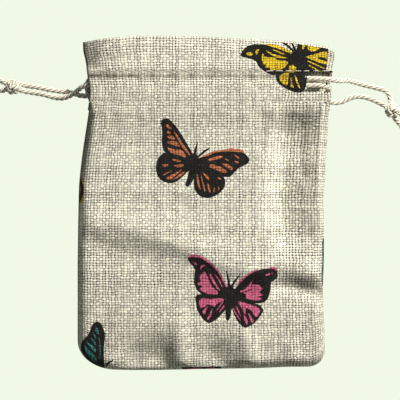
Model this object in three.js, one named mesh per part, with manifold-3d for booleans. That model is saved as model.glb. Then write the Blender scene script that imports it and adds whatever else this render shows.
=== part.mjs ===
// A small kinchaku drawstring pouch of coarse cotton and linen cloth, lying on its back.
// Millimetres. X runs to the right across the pouch, Y towards its mouth, Z up off the table.
import * as THREE from "three";
import { mergeVertices } from "three/addons/utils/BufferGeometryUtils.js";
import Module from "manifold-3d";

const wasm = await Module();
wasm.setup();

// Driving dimensions of the sewn pouch
const pouchWidth = 92.9; // across the widest places, from the lower left edge to the back header's corner
const pouchHeight = 120.6; // from the bottom fold to the top fold of the header
const clothThickness = 0.7;
const headerHeight = 12.9; // doubled cloth between the top fold and the upper stitch row
const casingHeight = 11; // channel for the cords, between the two stitch rows
const backSlip = 1.8; // how far the back panel has slipped down against the front one
const mouthGap = 4.4; // clear height between the two facings, where things go in
const bellyHeight = 9; // height of the front cloth over the middle of the body
const bottomHeight = 7.4; // the same over the bottom fold
const headerCurl = { front: 0.7, back: 2 }; // how far each header curls up off its stitch row

// Driving dimensions of the cords
const cordDiameter = 1.8;
const cordSides = 8;
const cordStep = 2.4; // distance between two sections of a cord, in cord diameters
const clearance = 0.3; // between a cord and the cloth or the next piece of cord
const knotDiameter = 5;

// Outline of the pouch, as insets from the width and from the height
const leftCorner = { across: 10.4, up: 7.6 }; // the bottom left corner is folded off in a long curve
const rightCorner = { across: 4.6, up: 4.4 };
const leftInset = [[-0.5, 0], [-0.2, 0], [-0.06, 0.4], [0.1, 1.4], [0.24, 3.5], [0.3, 4.5], [0.39, 5.1], [0.5, 2.4]];
const rightInset = [[-0.5, 5.6], [-0.3, 5.4], [-0.2, 4.6], [0.06, 4.6], [0.16, 3.2], [0.3, 2.8], [0.39, 1.7], [0.44, 0], [0.5, 0.3]];
const topDrop = [[-0.5, 2.2], [-0.38, 0.7], [-0.24, 0], [-0.06, 0], [0.2, 1.2], [0.36, 2.2], [0.46, 3.4], [0.5, 5.6]];
const bottomRise = [[-0.5, 0.6], [-0.26, 0], [0, 0.6], [0.14, 1.2], [0.5, 1.4]];

// Where the side edges roll over, and where the channel's end is open
const bodyRoll = 5.2; // width of the rolled side and bottom edges
const hemRoll = 0.8; // the same at the header and casing, whose ends are slit
const edgeHeight = 2.6; // height of the side edge above the table
const seamLength = 6; // stretch over which the side seam opens into the slit
const frontHemTrim = [[0.5, 2.1], [0.39, 3.5]]; // the front header is narrower than the back one on the right
const mouthOfCasing = 10.9; // the front casing's outer cloth stops this far short of the right edge
const notchDepth = { left: 3.4, right: 4.1 }; // facings cut back where a cord passes round the edge

// Soft folds of the front cloth: a line that the ridge follows, its height and its reach on each side
const folds = [
  { runs: "across", line: [[-44, -7], [-14, -14], [-2, -18.5], [13, -23], [27, -26.5], [41, -30]], height: 1.3, before: 2.6, after: 6 },
  { runs: "up", line: [[8, 18.5], [17, 22], [27.5, 25.6], [38, 24]], height: 1, before: 3.2, after: 4.5 },
  { runs: "up", line: [[-60, 17], [-54, 15.5], [-45, 14]], height: 0.8, before: 3.5, after: 3.5 },
  { runs: "up", line: [[-60, -8], [-52, -10], [-40, -9]], height: 0.8, before: 4, after: 4 },
];

// Heights above the table, worked out from the sizes above
const channelHeight = cordDiameter + 2 * clearance;
const hemThickness = 2 * clothThickness;
const backFacingTop = hemThickness + channelHeight;
const frontFacingBottom = backFacingTop + mouthGap;
const frontFacingTop = frontFacingBottom + clothThickness;
const frontHemTop = frontFacingBottom + hemThickness;
const frontLaneHeight = frontFacingTop + channelHeight / 2;
const backLaneHeight = clothThickness + channelHeight / 2;
const topLine = pouchHeight / 2;
const bottomLine = -pouchHeight / 2;
const upperStitch = topLine - headerHeight;
const lowerStitch = upperStitch - casingHeight;
const casingMiddle = (upperStitch + lowerStitch) / 2;
const rightEdge = pouchWidth / 2;
const beyond = 4; // how far a cutting shape reaches past the cloth

// Smooth value at a place, from pairs of place and value in rising order, with no overshoot
function along(pairs, place) {
  const last = pairs.length - 1;
  if (place <= pairs[0][0]) return pairs[0][1];
  if (place >= pairs[last][0]) return pairs[last][1];
  const next = pairs.findIndex((pair) => pair[0] > place);
  const rise = (at) => (pairs[at + 1][1] - pairs[at][1]) / (pairs[at + 1][0] - pairs[at][0]);
  const gentle = (before, after) => (before * after > 0 ? (2 * before * after) / (before + after) : 0);
  const here = rise(next - 1);
  const leaving = next > 1 ? gentle(rise(next - 2), here) : here;
  const arriving = next < last ? gentle(here, rise(next)) : here;
  const [from, start] = pairs[next - 1];
  const [to, end] = pairs[next];
  const t = (place - from) / (to - from);
  const bend = t * (1 - t) * (to - from);
  return start + (end - start) * t * t * (3 - 2 * t) + bend * ((1 - t) * leaving - t * arriving);
}

const leftX = (y) => -pouchWidth / 2 + along(leftInset, y / pouchHeight);
const rightX = (y) => pouchWidth / 2 - along(rightInset, y / pouchHeight);
const topY = (x) => topLine - along(topDrop, x / pouchWidth);

// Bottom fold, lifted in an elliptical curve at each corner
function bottomY(x) {
  const fromLeft = x - leftX(bottomLine);
  const fromRight = rightX(bottomLine) - x;
  return (
    bottomLine +
    along(bottomRise, x / pouchWidth) +
    leftCorner.up * (1 - rolled(fromLeft, leftCorner.across)) +
    rightCorner.up * (1 - rolled(fromRight, rightCorner.across))
  );
}

// Quarter circle from 0 at the edge to 1 at the reach
function rolled(distance, reach) {
  const t = 1 - THREE.MathUtils.clamp(distance / reach, 0, 1);
  return Math.sqrt(1 - t * t);
}

// Swelling of a casing over its cords, from 0 at the stitch rows to the channel's height
function swell(y, middle) {
  const t = Math.min(1, Math.abs(y - middle) / (casingHeight / 2));
  return channelHeight * (1 - t ** 5);
}

function foldHeight(fold, x, y) {
  const [place, across] = fold.runs === "across" ? [x, y] : [y, x];
  const first = fold.line[0][0];
  const last = fold.line[fold.line.length - 1][0];
  const side = across - along(fold.line, place);
  const reach = side > 0 ? fold.after : fold.before;
  const ends = rolled(place - first + reach, 2 * reach) * rolled(last + reach - place, 2 * reach);
  return fold.height * ends * Math.exp(-((side / reach) ** 2));
}

// Front cloth's outer face, away from the rolled edges
function frontCrown(x, y) {
  const belly = [[bottomLine, bottomHeight], [0.72 * bottomLine, bellyHeight], [0, bellyHeight]];
  const body = along([...belly, [lowerStitch, frontHemTop]], y);
  const fade = 1 - THREE.MathUtils.smoothstep(y, lowerStitch - seamLength, lowerStitch);
  const folded = folds.reduce((sum, fold) => sum + foldHeight(fold, x, y), 0);
  const header = headerCurl.front * Math.sin(Math.PI * THREE.MathUtils.smoothstep(y, upperStitch, topLine));
  return body + fade * folded + header;
}

const backLift = (y) => headerCurl.back * THREE.MathUtils.smoothstep(y, upperStitch - backSlip, topLine);
const rollAt = (y) => along([[lowerStitch - seamLength, bodyRoll], [lowerStitch, hemRoll]], y);

// Share of the full height that is left at a place near an edge, for a face set in from the outer one
function edgeShare(x, y, inset) {
  const reach = rollAt(y) - inset;
  const sides = rolled(x - leftX(y) - inset, reach) * rolled(rightX(y) - x - inset, reach);
  return sides * rolled(y - bottomY(x) - inset, bodyRoll - inset);
}

// Closed solid between a lower and an upper face over rows of places
function solidBetween(rows, lowerFace, upperFace) {
  const points = [];
  const triangles = [];
  const wide = rows[0].length;
  for (const face of [lowerFace, upperFace])
    for (const row of rows) for (const [x, y] of row) points.push(x, y, face(x, y));
  const at = (level, row, column) => (level * rows.length + row) * wide + column;
  const quad = (a, b, c, d) => triangles.push(a, b, c, a, c, d);
  for (let row = 1; row < rows.length; row++)
    for (let column = 1; column < wide; column++) {
      quad(at(1, row - 1, column - 1), at(1, row - 1, column), at(1, row, column), at(1, row, column - 1));
      quad(at(0, row, column - 1), at(0, row, column), at(0, row - 1, column), at(0, row - 1, column - 1));
    }
  for (let column = 1; column < wide; column++) {
    const top = rows.length - 1;
    quad(at(0, 0, column - 1), at(0, 0, column), at(1, 0, column), at(1, 0, column - 1));
    quad(at(0, top, column), at(0, top, column - 1), at(1, top, column - 1), at(1, top, column));
  }
  for (let row = 1; row < rows.length; row++) {
    const end = wide - 1;
    quad(at(0, row, 0), at(0, row - 1, 0), at(1, row - 1, 0), at(1, row, 0));
    quad(at(0, row - 1, end), at(0, row, end), at(1, row, end), at(1, row - 1, end));
  }
  const geometry = new THREE.BufferGeometry();
  geometry.setAttribute("position", new THREE.Float32BufferAttribute(points, 3));
  geometry.setIndex(triangles);
  return solidOf(geometry);
}

function solidOf(geometry) {
  const bare = geometry.clone();
  bare.deleteAttribute("normal");
  bare.deleteAttribute("uv");
  const merged = mergeVertices(bare, 1e-4);
  return new wasm.Manifold(
    new wasm.Mesh({
      numProp: 3,
      vertProperties: new Float32Array(merged.attributes.position.array),
      triVerts: new Uint32Array(merged.index.array),
    }),
  );
}

function geometryOf(solid) {
  const mesh = solid.getMesh();
  const geometry = new THREE.BufferGeometry();
  geometry.setAttribute("position", new THREE.BufferAttribute(mesh.vertProperties, 3));
  geometry.setIndex(new THREE.BufferAttribute(mesh.triVerts, 1));
  return geometry;
}

// Places from 0 to 1, closer together at both ends
function spaced(count, crowding) {
  return Array.from({ length: count + 1 }, (_, index) => {
    const even = index / count;
    return THREE.MathUtils.lerp(even, (1 - Math.cos(Math.PI * even)) / 2, crowding);
  });
}

// Rows of places over the pouch's outline, with rows on both stitch lines
function rowsOver(columns, bodyRows, casingRows, headerRows) {
  const across = spaced(columns, 0.75);
  const rowAt = (yOf) =>
    across.map((u) => {
      const y = yOf(THREE.MathUtils.lerp(leftX(bottomLine), rightX(bottomLine), u));
      return [THREE.MathUtils.lerp(leftX(y), rightX(y), u), y];
    });
  const body = spaced(bodyRows, 0.6).map((v) => rowAt((x) => THREE.MathUtils.lerp(bottomY(x), lowerStitch, v)));
  const casing = spaced(casingRows, 0.7).map((v) => rowAt(() => THREE.MathUtils.lerp(lowerStitch, upperStitch, v)));
  const header = spaced(headerRows, 0.2).map((v) => rowAt((x) => THREE.MathUtils.lerp(upperStitch, topY(x), v)));
  return [...body, ...casing.slice(1), ...header.slice(1)];
}

function outerSolid() {
  const lower = (x, y) => edgeHeight + (backLift(y) - edgeHeight) * edgeShare(x, y, 0);
  const upper = (x, y) =>
    edgeHeight + (frontCrown(x, y) + swell(y, casingMiddle) - edgeHeight) * edgeShare(x, y, 0);
  return solidBetween(rowsOver(34, 24, 10, 5), lower, upper);
}

// Room inside the pouch: the body's hollow, and above it the gap between the facings with the slits at both sides
function innerSolid() {
  const across = spaced(20, 0.7);
  const inset = clothThickness;
  const hollowRow = (v) =>
    across.map((u) => {
      const x0 = THREE.MathUtils.lerp(leftX(bottomLine) + inset, rightX(bottomLine) - inset, u);
      const y = THREE.MathUtils.lerp(bottomY(x0) + inset, lowerStitch - backSlip - clearance, v);
      return [THREE.MathUtils.lerp(leftX(y) + inset, rightX(y) - inset, u), y];
    });
  const slitRow = (y) =>
    across.map((u) => [THREE.MathUtils.lerp(leftX(y) - beyond, rightX(y) + beyond, u), y]);
  const hollow = spaced(16, 0.6).map(hollowRow);
  const slit = spaced(14, 0.2).map((v) =>
    slitRow(THREE.MathUtils.lerp(lowerStitch - backSlip, topLine + beyond, v)),
  );
  const slitStart = lowerStitch - backSlip - clearance / 2;
  const lower = (x, y) => {
    if (y > slitStart) return backLift(y) + hemThickness + swell(y, casingMiddle - backSlip);
    return edgeHeight + (clothThickness - edgeHeight) * edgeShare(x, y, inset);
  };
  const upper = (x, y) => {
    if (y > slitStart) return frontCrown(x, Math.min(y, topLine)) - hemThickness;
    return edgeHeight + (frontCrown(x, y) - clothThickness - edgeHeight) * edgeShare(x, y, inset);
  };
  return solidBetween([...hollow, ...slit], lower, upper);
}

// Channel for the cords, between a casing's outer cloth and its facing
function channelSolid(middle, floor) {
  const places = spaced(12, 0.7).map((v) => THREE.MathUtils.lerp(-casingHeight / 2, casingHeight / 2, v));
  const inner = places.slice(1, -1);
  const profile = new THREE.Shape();
  profile.moveTo(inner[inner.length - 1], 0);
  profile.lineTo(inner[0], 0);
  for (const place of inner) profile.lineTo(place, swell(middle + place, middle));
  const geometry = new THREE.ExtrudeGeometry(profile, { depth: pouchWidth + 2 * beyond, bevelEnabled: false });
  const upright = new THREE.Matrix4().makeBasis(
    new THREE.Vector3(0, 1, 0),
    new THREE.Vector3(0, 0, 1),
    new THREE.Vector3(1, 0, 0),
  );
  geometry.applyMatrix4(upright);
  geometry.translate(-pouchWidth / 2 - beyond, middle, floor);
  return solidOf(geometry);
}

function boxSolid(low, high) {
  const size = new THREE.Vector3().subVectors(high, low);
  const middle = new THREE.Vector3().addVectors(low, high).multiplyScalar(0.5);
  return solidOf(new THREE.BoxGeometry(size.x, size.y, size.z).translate(middle.x, middle.y, middle.z));
}

// The front header ends short of the back one on the right, with a slanted end
function headerTrimSolid() {
  const [[, top], [, foot]] = frontHemTrim;
  const outline = new THREE.Shape();
  outline.moveTo(rightEdge - foot, upperStitch);
  outline.lineTo(rightEdge + beyond, upperStitch);
  outline.lineTo(rightEdge + beyond, topLine + beyond);
  outline.lineTo(rightEdge - top, topLine + beyond);
  const geometry = new THREE.ExtrudeGeometry(outline, { depth: frontHemTop + beyond, bevelEnabled: false });
  geometry.translate(0, 0, frontFacingBottom - mouthGap / 2);
  return solidOf(geometry);
}

// Cord lanes inside the casings, from the upper stitch row down
const lane = {
  frontUpper: casingMiddle + 2.6,
  frontLower: casingMiddle + 0.3,
  backUpper: casingMiddle - backSlip - 0.5,
  backLower: casingMiddle - backSlip - 2.8,
};

function clothSolid() {
  const openTo = new THREE.Vector3(rightEdge + beyond, upperStitch - clearance, frontHemTop + channelHeight + beyond);
  const openFrom = new THREE.Vector3(
    rightEdge - mouthOfCasing,
    lane.frontLower - cordDiameter / 2 - 2 * clearance,
    frontFacingTop,
  );
  const notchLow = lane.backLower - cordDiameter / 2 - clearance;
  const notchHigh = lane.frontUpper + cordDiameter / 2 + clearance;
  const leftNotch = boxSolid(
    new THREE.Vector3(-rightEdge - beyond, notchLow, clothThickness),
    new THREE.Vector3(leftX(casingMiddle) + notchDepth.left, notchHigh, frontFacingTop + clearance),
  );
  const rightNotch = boxSolid(
    new THREE.Vector3(rightX(casingMiddle) - notchDepth.right, lane.backUpper - 2 * clearance - cordDiameter / 2, clothThickness),
    new THREE.Vector3(rightEdge + beyond, lane.frontLower + 2 * clearance + cordDiameter / 2, frontFacingTop + clearance),
  );
  return [
    innerSolid(),
    channelSolid(casingMiddle, frontFacingTop),
    channelSolid(casingMiddle - backSlip, clothThickness),
    headerTrimSolid(),
    boxSolid(openFrom, openTo),
    leftNotch,
    rightNotch,
  ].reduce((cloth, cutter) => cloth.subtract(cutter), outerSolid());
}

// Tube of cord along a smooth line through hand-chosen points
function cordGeometry(points) {
  const path = new THREE.CatmullRomCurve3(points.map((point) => new THREE.Vector3(...point)));
  const section = new THREE.Shape();
  for (let side = 0; side < cordSides; side++) {
    const angle = (2 * Math.PI * (side + 0.5)) / cordSides;
    const place = [Math.cos(angle) * cordDiameter * 0.5, Math.sin(angle) * cordDiameter * 0.5];
    if (side === 0) section.moveTo(...place);
    else section.lineTo(...place);
  }
  const steps = Math.max(4, Math.round(path.getLength() / (cordStep * cordDiameter)));
  return new THREE.ExtrudeGeometry(section, { steps, extrudePath: path, bevelEnabled: false });
}

// Overhand knot of both cord ends, drawn tight: a ball with the turns of the cord winding round it
function knotGeometry() {
  const geometry = new THREE.SphereGeometry(knotDiameter / 2, 18, 12);
  const position = geometry.attributes.position;
  const point = new THREE.Vector3();
  for (let index = 0; index < position.count; index++) {
    point.fromBufferAttribute(position, index);
    const turn = Math.atan2(point.z, point.x);
    const tilt = point.y / (knotDiameter / 2);
    const groove = Math.sqrt(Math.max(0, 1 - tilt * tilt)) * Math.cos(3 * turn + 2.5 * tilt);
    point.multiplyScalar(0.95 + 0.05 * groove);
    position.setXYZ(index, point.x, point.y, point.z);
  }
  geometry.deleteAttribute("normal");
  geometry.deleteAttribute("uv");
  return mergeVertices(geometry, 1e-4);
}

// The stretch of each cord that the casings hold: through the front, round the edge and back through the rear
const cordInset = 5.9; // a cord turns out of its lane this far inside the pouch's edge
const farRight = rightEdge - cordInset;
const farLeft = leftX(casingMiddle) + 3.2;
const laneDrop = frontLaneHeight - backLaneHeight;
const leftCordExit = { front: leftX(casingMiddle) + 0.5, back: leftX(casingMiddle) + 2.9 };
const rightCordExit = { front: rightEdge - mouthOfCasing, back: rightEdge - 3.2 };

const leftCordInCasing = [
  [leftCordExit.front, lane.frontLower + 0.3, frontLaneHeight],
  [-30, lane.frontLower + 0.1, frontLaneHeight],
  [-10, lane.frontLower - 0.1, frontLaneHeight],
  [10, lane.frontLower, frontLaneHeight],
  [30, lane.frontLower, frontLaneHeight],
  [farRight - 2.5, lane.frontLower, frontLaneHeight],
  [farRight, lane.frontLower, frontLaneHeight],
  [farRight + 2.7, lane.frontLower - 0.3, frontLaneHeight - 0.15 * laneDrop],
  [farRight + 3.9, lane.frontLower - 1.1, frontLaneHeight - 0.5 * laneDrop],
  [farRight + 2.7, lane.backUpper + 0.3, frontLaneHeight - 0.85 * laneDrop],
  [farRight, lane.backUpper, backLaneHeight],
  [farRight - 2.5, lane.backUpper, backLaneHeight],
  [30, lane.backUpper, backLaneHeight],
  [10, lane.backUpper, backLaneHeight],
  [-10, lane.backUpper, backLaneHeight],
  [-30, lane.backUpper, backLaneHeight],
  [leftCordExit.back, lane.backUpper, backLaneHeight],
];
const rightCordInCasing = [
  [rightCordExit.front, lane.frontUpper, frontLaneHeight],
  [20, lane.frontUpper, frontLaneHeight],
  [0, lane.frontUpper, frontLaneHeight],
  [-20, lane.frontUpper, frontLaneHeight],
  [farLeft + 2.5, lane.frontUpper, frontLaneHeight],
  [farLeft, lane.frontUpper, frontLaneHeight],
  [farLeft - 2, lane.frontUpper, frontLaneHeight - 0.05 * laneDrop],
  [farLeft - 3.3, lane.frontUpper - 0.3, frontLaneHeight - 0.18 * laneDrop],
  [farLeft - 4, lane.frontUpper - 1.3, frontLaneHeight - 0.34 * laneDrop],
  [farLeft - 4.2, lane.frontUpper - 2.9, frontLaneHeight - 0.5 * laneDrop],
  [farLeft - 4, lane.frontUpper - 4.7, frontLaneHeight - 0.63 * laneDrop],
  [farLeft - 3.4, lane.backLower + 1.1, frontLaneHeight - 0.77 * laneDrop],
  [farLeft - 2.2, lane.backLower + 0.1, frontLaneHeight - 0.91 * laneDrop],
  [farLeft, lane.backLower, backLaneHeight],
  [farLeft + 2.5, lane.backLower, backLaneHeight],
  [-20, lane.backLower, backLaneHeight],
  [0, lane.backLower, backLaneHeight],
  [20, lane.backLower, backLaneHeight],
  [rightCordExit.back, lane.backLower, backLaneHeight],
];

// The free ends, from the casing down onto the table and into the knot, and the tails past the knot
const freeCords = {
  left_front_end: [
    [-41.4, 42.5, 10.1], [-42.7, 42.4, 10], [-44.1, 41.9, 9.2], [-45.4, 41.1, 7.8], [-46.6, 40.3, 6.1],
    [-48.1, 39.4, 4.6], [-49.7, 38.7, 3.6], [-51.5, 38.2, 2.7], [-53.3, 38.2, 1.8], [-55.1, 38.5, 1.15],
    [-56.9, 39, 0.92], [-59, 39.6, 0.92], [-61.2, 40, 0.92], [-63.4, 40.3, 0.92], [-65.2, 40.6, 1.1],
    [-66.9, 41, 1.6],
  ],
  left_back_end: [
    [-39.2, 39.6, 2], [-41, 39.4, 2], [-42.6, 39.1, 1.7], [-44.2, 39, 1.25], [-46, 39.3, 0.92],
    [-48, 39.9, 0.92], [-50, 40.4, 0.92], [-52.2, 40.7, 0.92], [-54.6, 40.95, 0.92], [-57, 41.3, 0.92],
    [-59.2, 41.8, 0.92], [-61.4, 42.2, 0.92], [-63.6, 42.5, 0.92], [-65.3, 42.8, 1.1], [-66.9, 43.1, 1.6],
  ],
  left_tail_long: [
    [-72.4, 43.4, 2], [-74.2, 44.4, 1.3], [-76.2, 45.3, 0.92], [-78.6, 45.9, 0.92], [-81.2, 46.2, 0.92],
    [-83.6, 46.3, 0.92],
  ],
  left_tail_short: [
    [-72.8, 41.1, 2], [-74.6, 40.9, 1.3], [-76.6, 40.6, 0.92], [-79, 40.2, 0.92], [-81.4, 39.9, 0.92],
  ],
  right_front_end: [
    [36, 44.6, 10.1], [38.5, 44.6, 10.1], [41.5, 44.5, 10.1], [44.4, 44.3, 10.1], [46.6, 44.1, 9.1],
    [48.6, 44.2, 7], [50.4, 44.4, 5.3], [52.3, 44.3, 3.7], [54.2, 43.9, 2.3], [56.2, 43.4, 1.3],
    [58.4, 42.8, 0.95], [60.4, 42.3, 0.92], [62.4, 41.8, 0.92], [64.1, 41.4, 0.92], [65.5, 40.6, 0.92],
    [66.5, 39.3, 0.92], [66.9, 37.7, 1], [67, 36.6, 1.4],
  ],
  right_back_end: [
    [43.8, 37.2, 1.9], [45.3, 36.8, 1.6], [47, 36.6, 1.15], [48.8, 36.8, 0.93], [50.6, 37.5, 0.92],
    [52.4, 38.3, 0.92], [54.4, 38.8, 0.92], [56.6, 38.8, 0.92], [58.8, 38.3, 0.92], [61, 37.5, 0.92],
    [63, 36.5, 0.98], [65, 35.3, 1.5],
  ],
  right_tail_long: [
    [70.1, 32.9, 2], [71.3, 32.1, 1.3], [72.8, 30.9, 0.92], [74.2, 29.4, 0.92], [75.3, 27.6, 0.92],
    [76.1, 25.6, 0.92],
  ],
  right_tail_short: [
    [68.4, 31, 2], [69.6, 29.8, 1.3], [70.8, 28.3, 0.92], [71.8, 26.5, 0.92], [72.5, 24.5, 0.92],
  ],
};
const knots = { left_knot: [-69.8, 42.2, 2.6], right_knot: [67.5, 33.7, 2.6] };

const pouch = new THREE.Group();

function addPiece(name, geometry, material) {
  const piece = new THREE.Mesh(geometry, material);
  piece.name = name;
  pouch.add(piece);
  return piece;
}

const cloth = () => new THREE.MeshStandardMaterial({ color: 0xc6c2b1, roughness: 0.95, metalness: 0 });
const cotton = () => new THREE.MeshStandardMaterial({ color: 0xded9ca, roughness: 0.9, metalness: 0 });

addPiece("cloth_bag", geometryOf(clothSolid()), cloth());
addPiece("left_cord_in_casing", cordGeometry(leftCordInCasing), cotton());
addPiece("right_cord_in_casing", cordGeometry(rightCordInCasing), cotton());
for (const [name, points] of Object.entries(freeCords)) addPiece(name, cordGeometry(points), cotton());
for (const [name, place] of Object.entries(knots)) {
  const knot = addPiece(name, knotGeometry(), cotton());
  knot.position.set(...place);
}

export default pouch;
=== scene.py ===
import math
import bpy
import numpy as np
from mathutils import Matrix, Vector, kdtree
from mathutils.geometry import delaunay_2d_cdt


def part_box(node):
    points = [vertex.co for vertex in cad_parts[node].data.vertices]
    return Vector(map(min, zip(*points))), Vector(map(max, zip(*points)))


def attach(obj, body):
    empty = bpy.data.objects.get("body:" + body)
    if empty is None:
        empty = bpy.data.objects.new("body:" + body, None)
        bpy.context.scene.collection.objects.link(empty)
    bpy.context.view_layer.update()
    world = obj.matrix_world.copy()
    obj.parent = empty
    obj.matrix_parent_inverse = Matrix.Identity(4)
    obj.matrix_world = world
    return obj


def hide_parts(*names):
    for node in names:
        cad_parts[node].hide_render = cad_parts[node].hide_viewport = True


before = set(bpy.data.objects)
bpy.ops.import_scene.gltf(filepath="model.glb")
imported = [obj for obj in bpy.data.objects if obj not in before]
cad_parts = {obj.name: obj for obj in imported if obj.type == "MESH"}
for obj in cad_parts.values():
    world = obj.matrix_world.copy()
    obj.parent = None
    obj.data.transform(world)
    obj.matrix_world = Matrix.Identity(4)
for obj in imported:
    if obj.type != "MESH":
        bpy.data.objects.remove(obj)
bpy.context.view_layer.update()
print("stage: the frame is loaded")

mm = 0.001

# camera first: straight down on the pouch, a long lens
camera = {"middle": (-2.16, 1.26), "height": 600.0, "view": 144.0, "plane": 6.0}


def addCamera():
    data = bpy.data.cameras.new("photoCamera")
    data.sensor_width = 36
    data.lens = 36 * (camera["height"] - camera["plane"]) / camera["view"]
    data.clip_end = 10
    eye = bpy.data.objects.new("photoCamera", data)
    eye.location = (camera["middle"][0] * mm, camera["middle"][1] * mm, camera["height"] * mm)
    bpy.context.scene.collection.objects.link(eye)
    bpy.context.scene.camera = eye


addCamera()


# small helpers for node trees
def calc(tree, operation, *values):
    node = tree.nodes.new("ShaderNodeMath")
    node.operation = operation
    for socket, value in zip(node.inputs, values):
        if isinstance(value, (int, float)):
            socket.default_value = value
        else:
            tree.links.new(value, socket)
    return node.outputs[0]


def calcVector(tree, operation, first, second=None, scale=None):
    node = tree.nodes.new("ShaderNodeVectorMath")
    node.operation = operation
    for socket, value in ((node.inputs[0], first), (node.inputs[1], second), (node.inputs[3], scale)):
        if value is None:
            continue
        if isinstance(value, (int, float, tuple)):
            socket.default_value = value
        else:
            tree.links.new(value, socket)
    return node.outputs[0]


def mixColors(tree, share, first, second, blend="MIX"):
    node = tree.nodes.new("ShaderNodeMix")
    node.data_type = "RGBA"
    node.blend_type = blend
    for socket, value in ((node.inputs[0], share), (node.inputs[6], first), (node.inputs[7], second)):
        if isinstance(value, (int, float, tuple)):
            socket.default_value = value
        else:
            tree.links.new(value, socket)
    return node.outputs[2]


def rampOf(tree, value, low, high, first=0.0, last=1.0):
    node = tree.nodes.new("ShaderNodeMapRange")
    node.interpolation_type = "SMOOTHSTEP"
    tree.links.new(value, node.inputs["Value"])
    for name, number in (("From Min", low), ("From Max", high), ("To Min", first), ("To Max", last)):
        node.inputs[name].default_value = number
    return node.outputs[0]


def noiseOf(tree, vector, scale, detail):
    node = tree.nodes.new("ShaderNodeTexNoise")
    node.inputs["Scale"].default_value = scale
    node.inputs["Detail"].default_value = detail
    tree.links.new(vector, node.inputs["Vector"])
    return node


def bumpOf(tree, height, strength, distance):
    node = tree.nodes.new("ShaderNodeBump")
    node.inputs["Strength"].default_value = strength
    node.inputs["Distance"].default_value = distance
    tree.links.new(height, node.inputs["Height"])
    return node.outputs[0]


def linear(red, green, blue):
    def one(value):
        value = value / 255
        return value / 12.92 if value <= 0.04045 else ((value + 0.055) / 1.055) ** 2.4
    return (one(red), one(green), one(blue), 1.0)


# the weave: plain weave with one warp over one weft, read from the piece's own thread numbers
weaveSizes = {
    "wander": 0.8,
    "slim": (0.82, 1.24),
    "gap": (0.34, 0.76),
    "husk": (0.745, 0.77, 0.6),
    # painted shade: colour the yarn is multiplied by where the painted shade mask is full
    "paintedShadeTint": (0.12, 0.11, 0.095, 1),
    "bumpStrength": 0.75,
    "bumpHeight": 0.00022,
}


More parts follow.
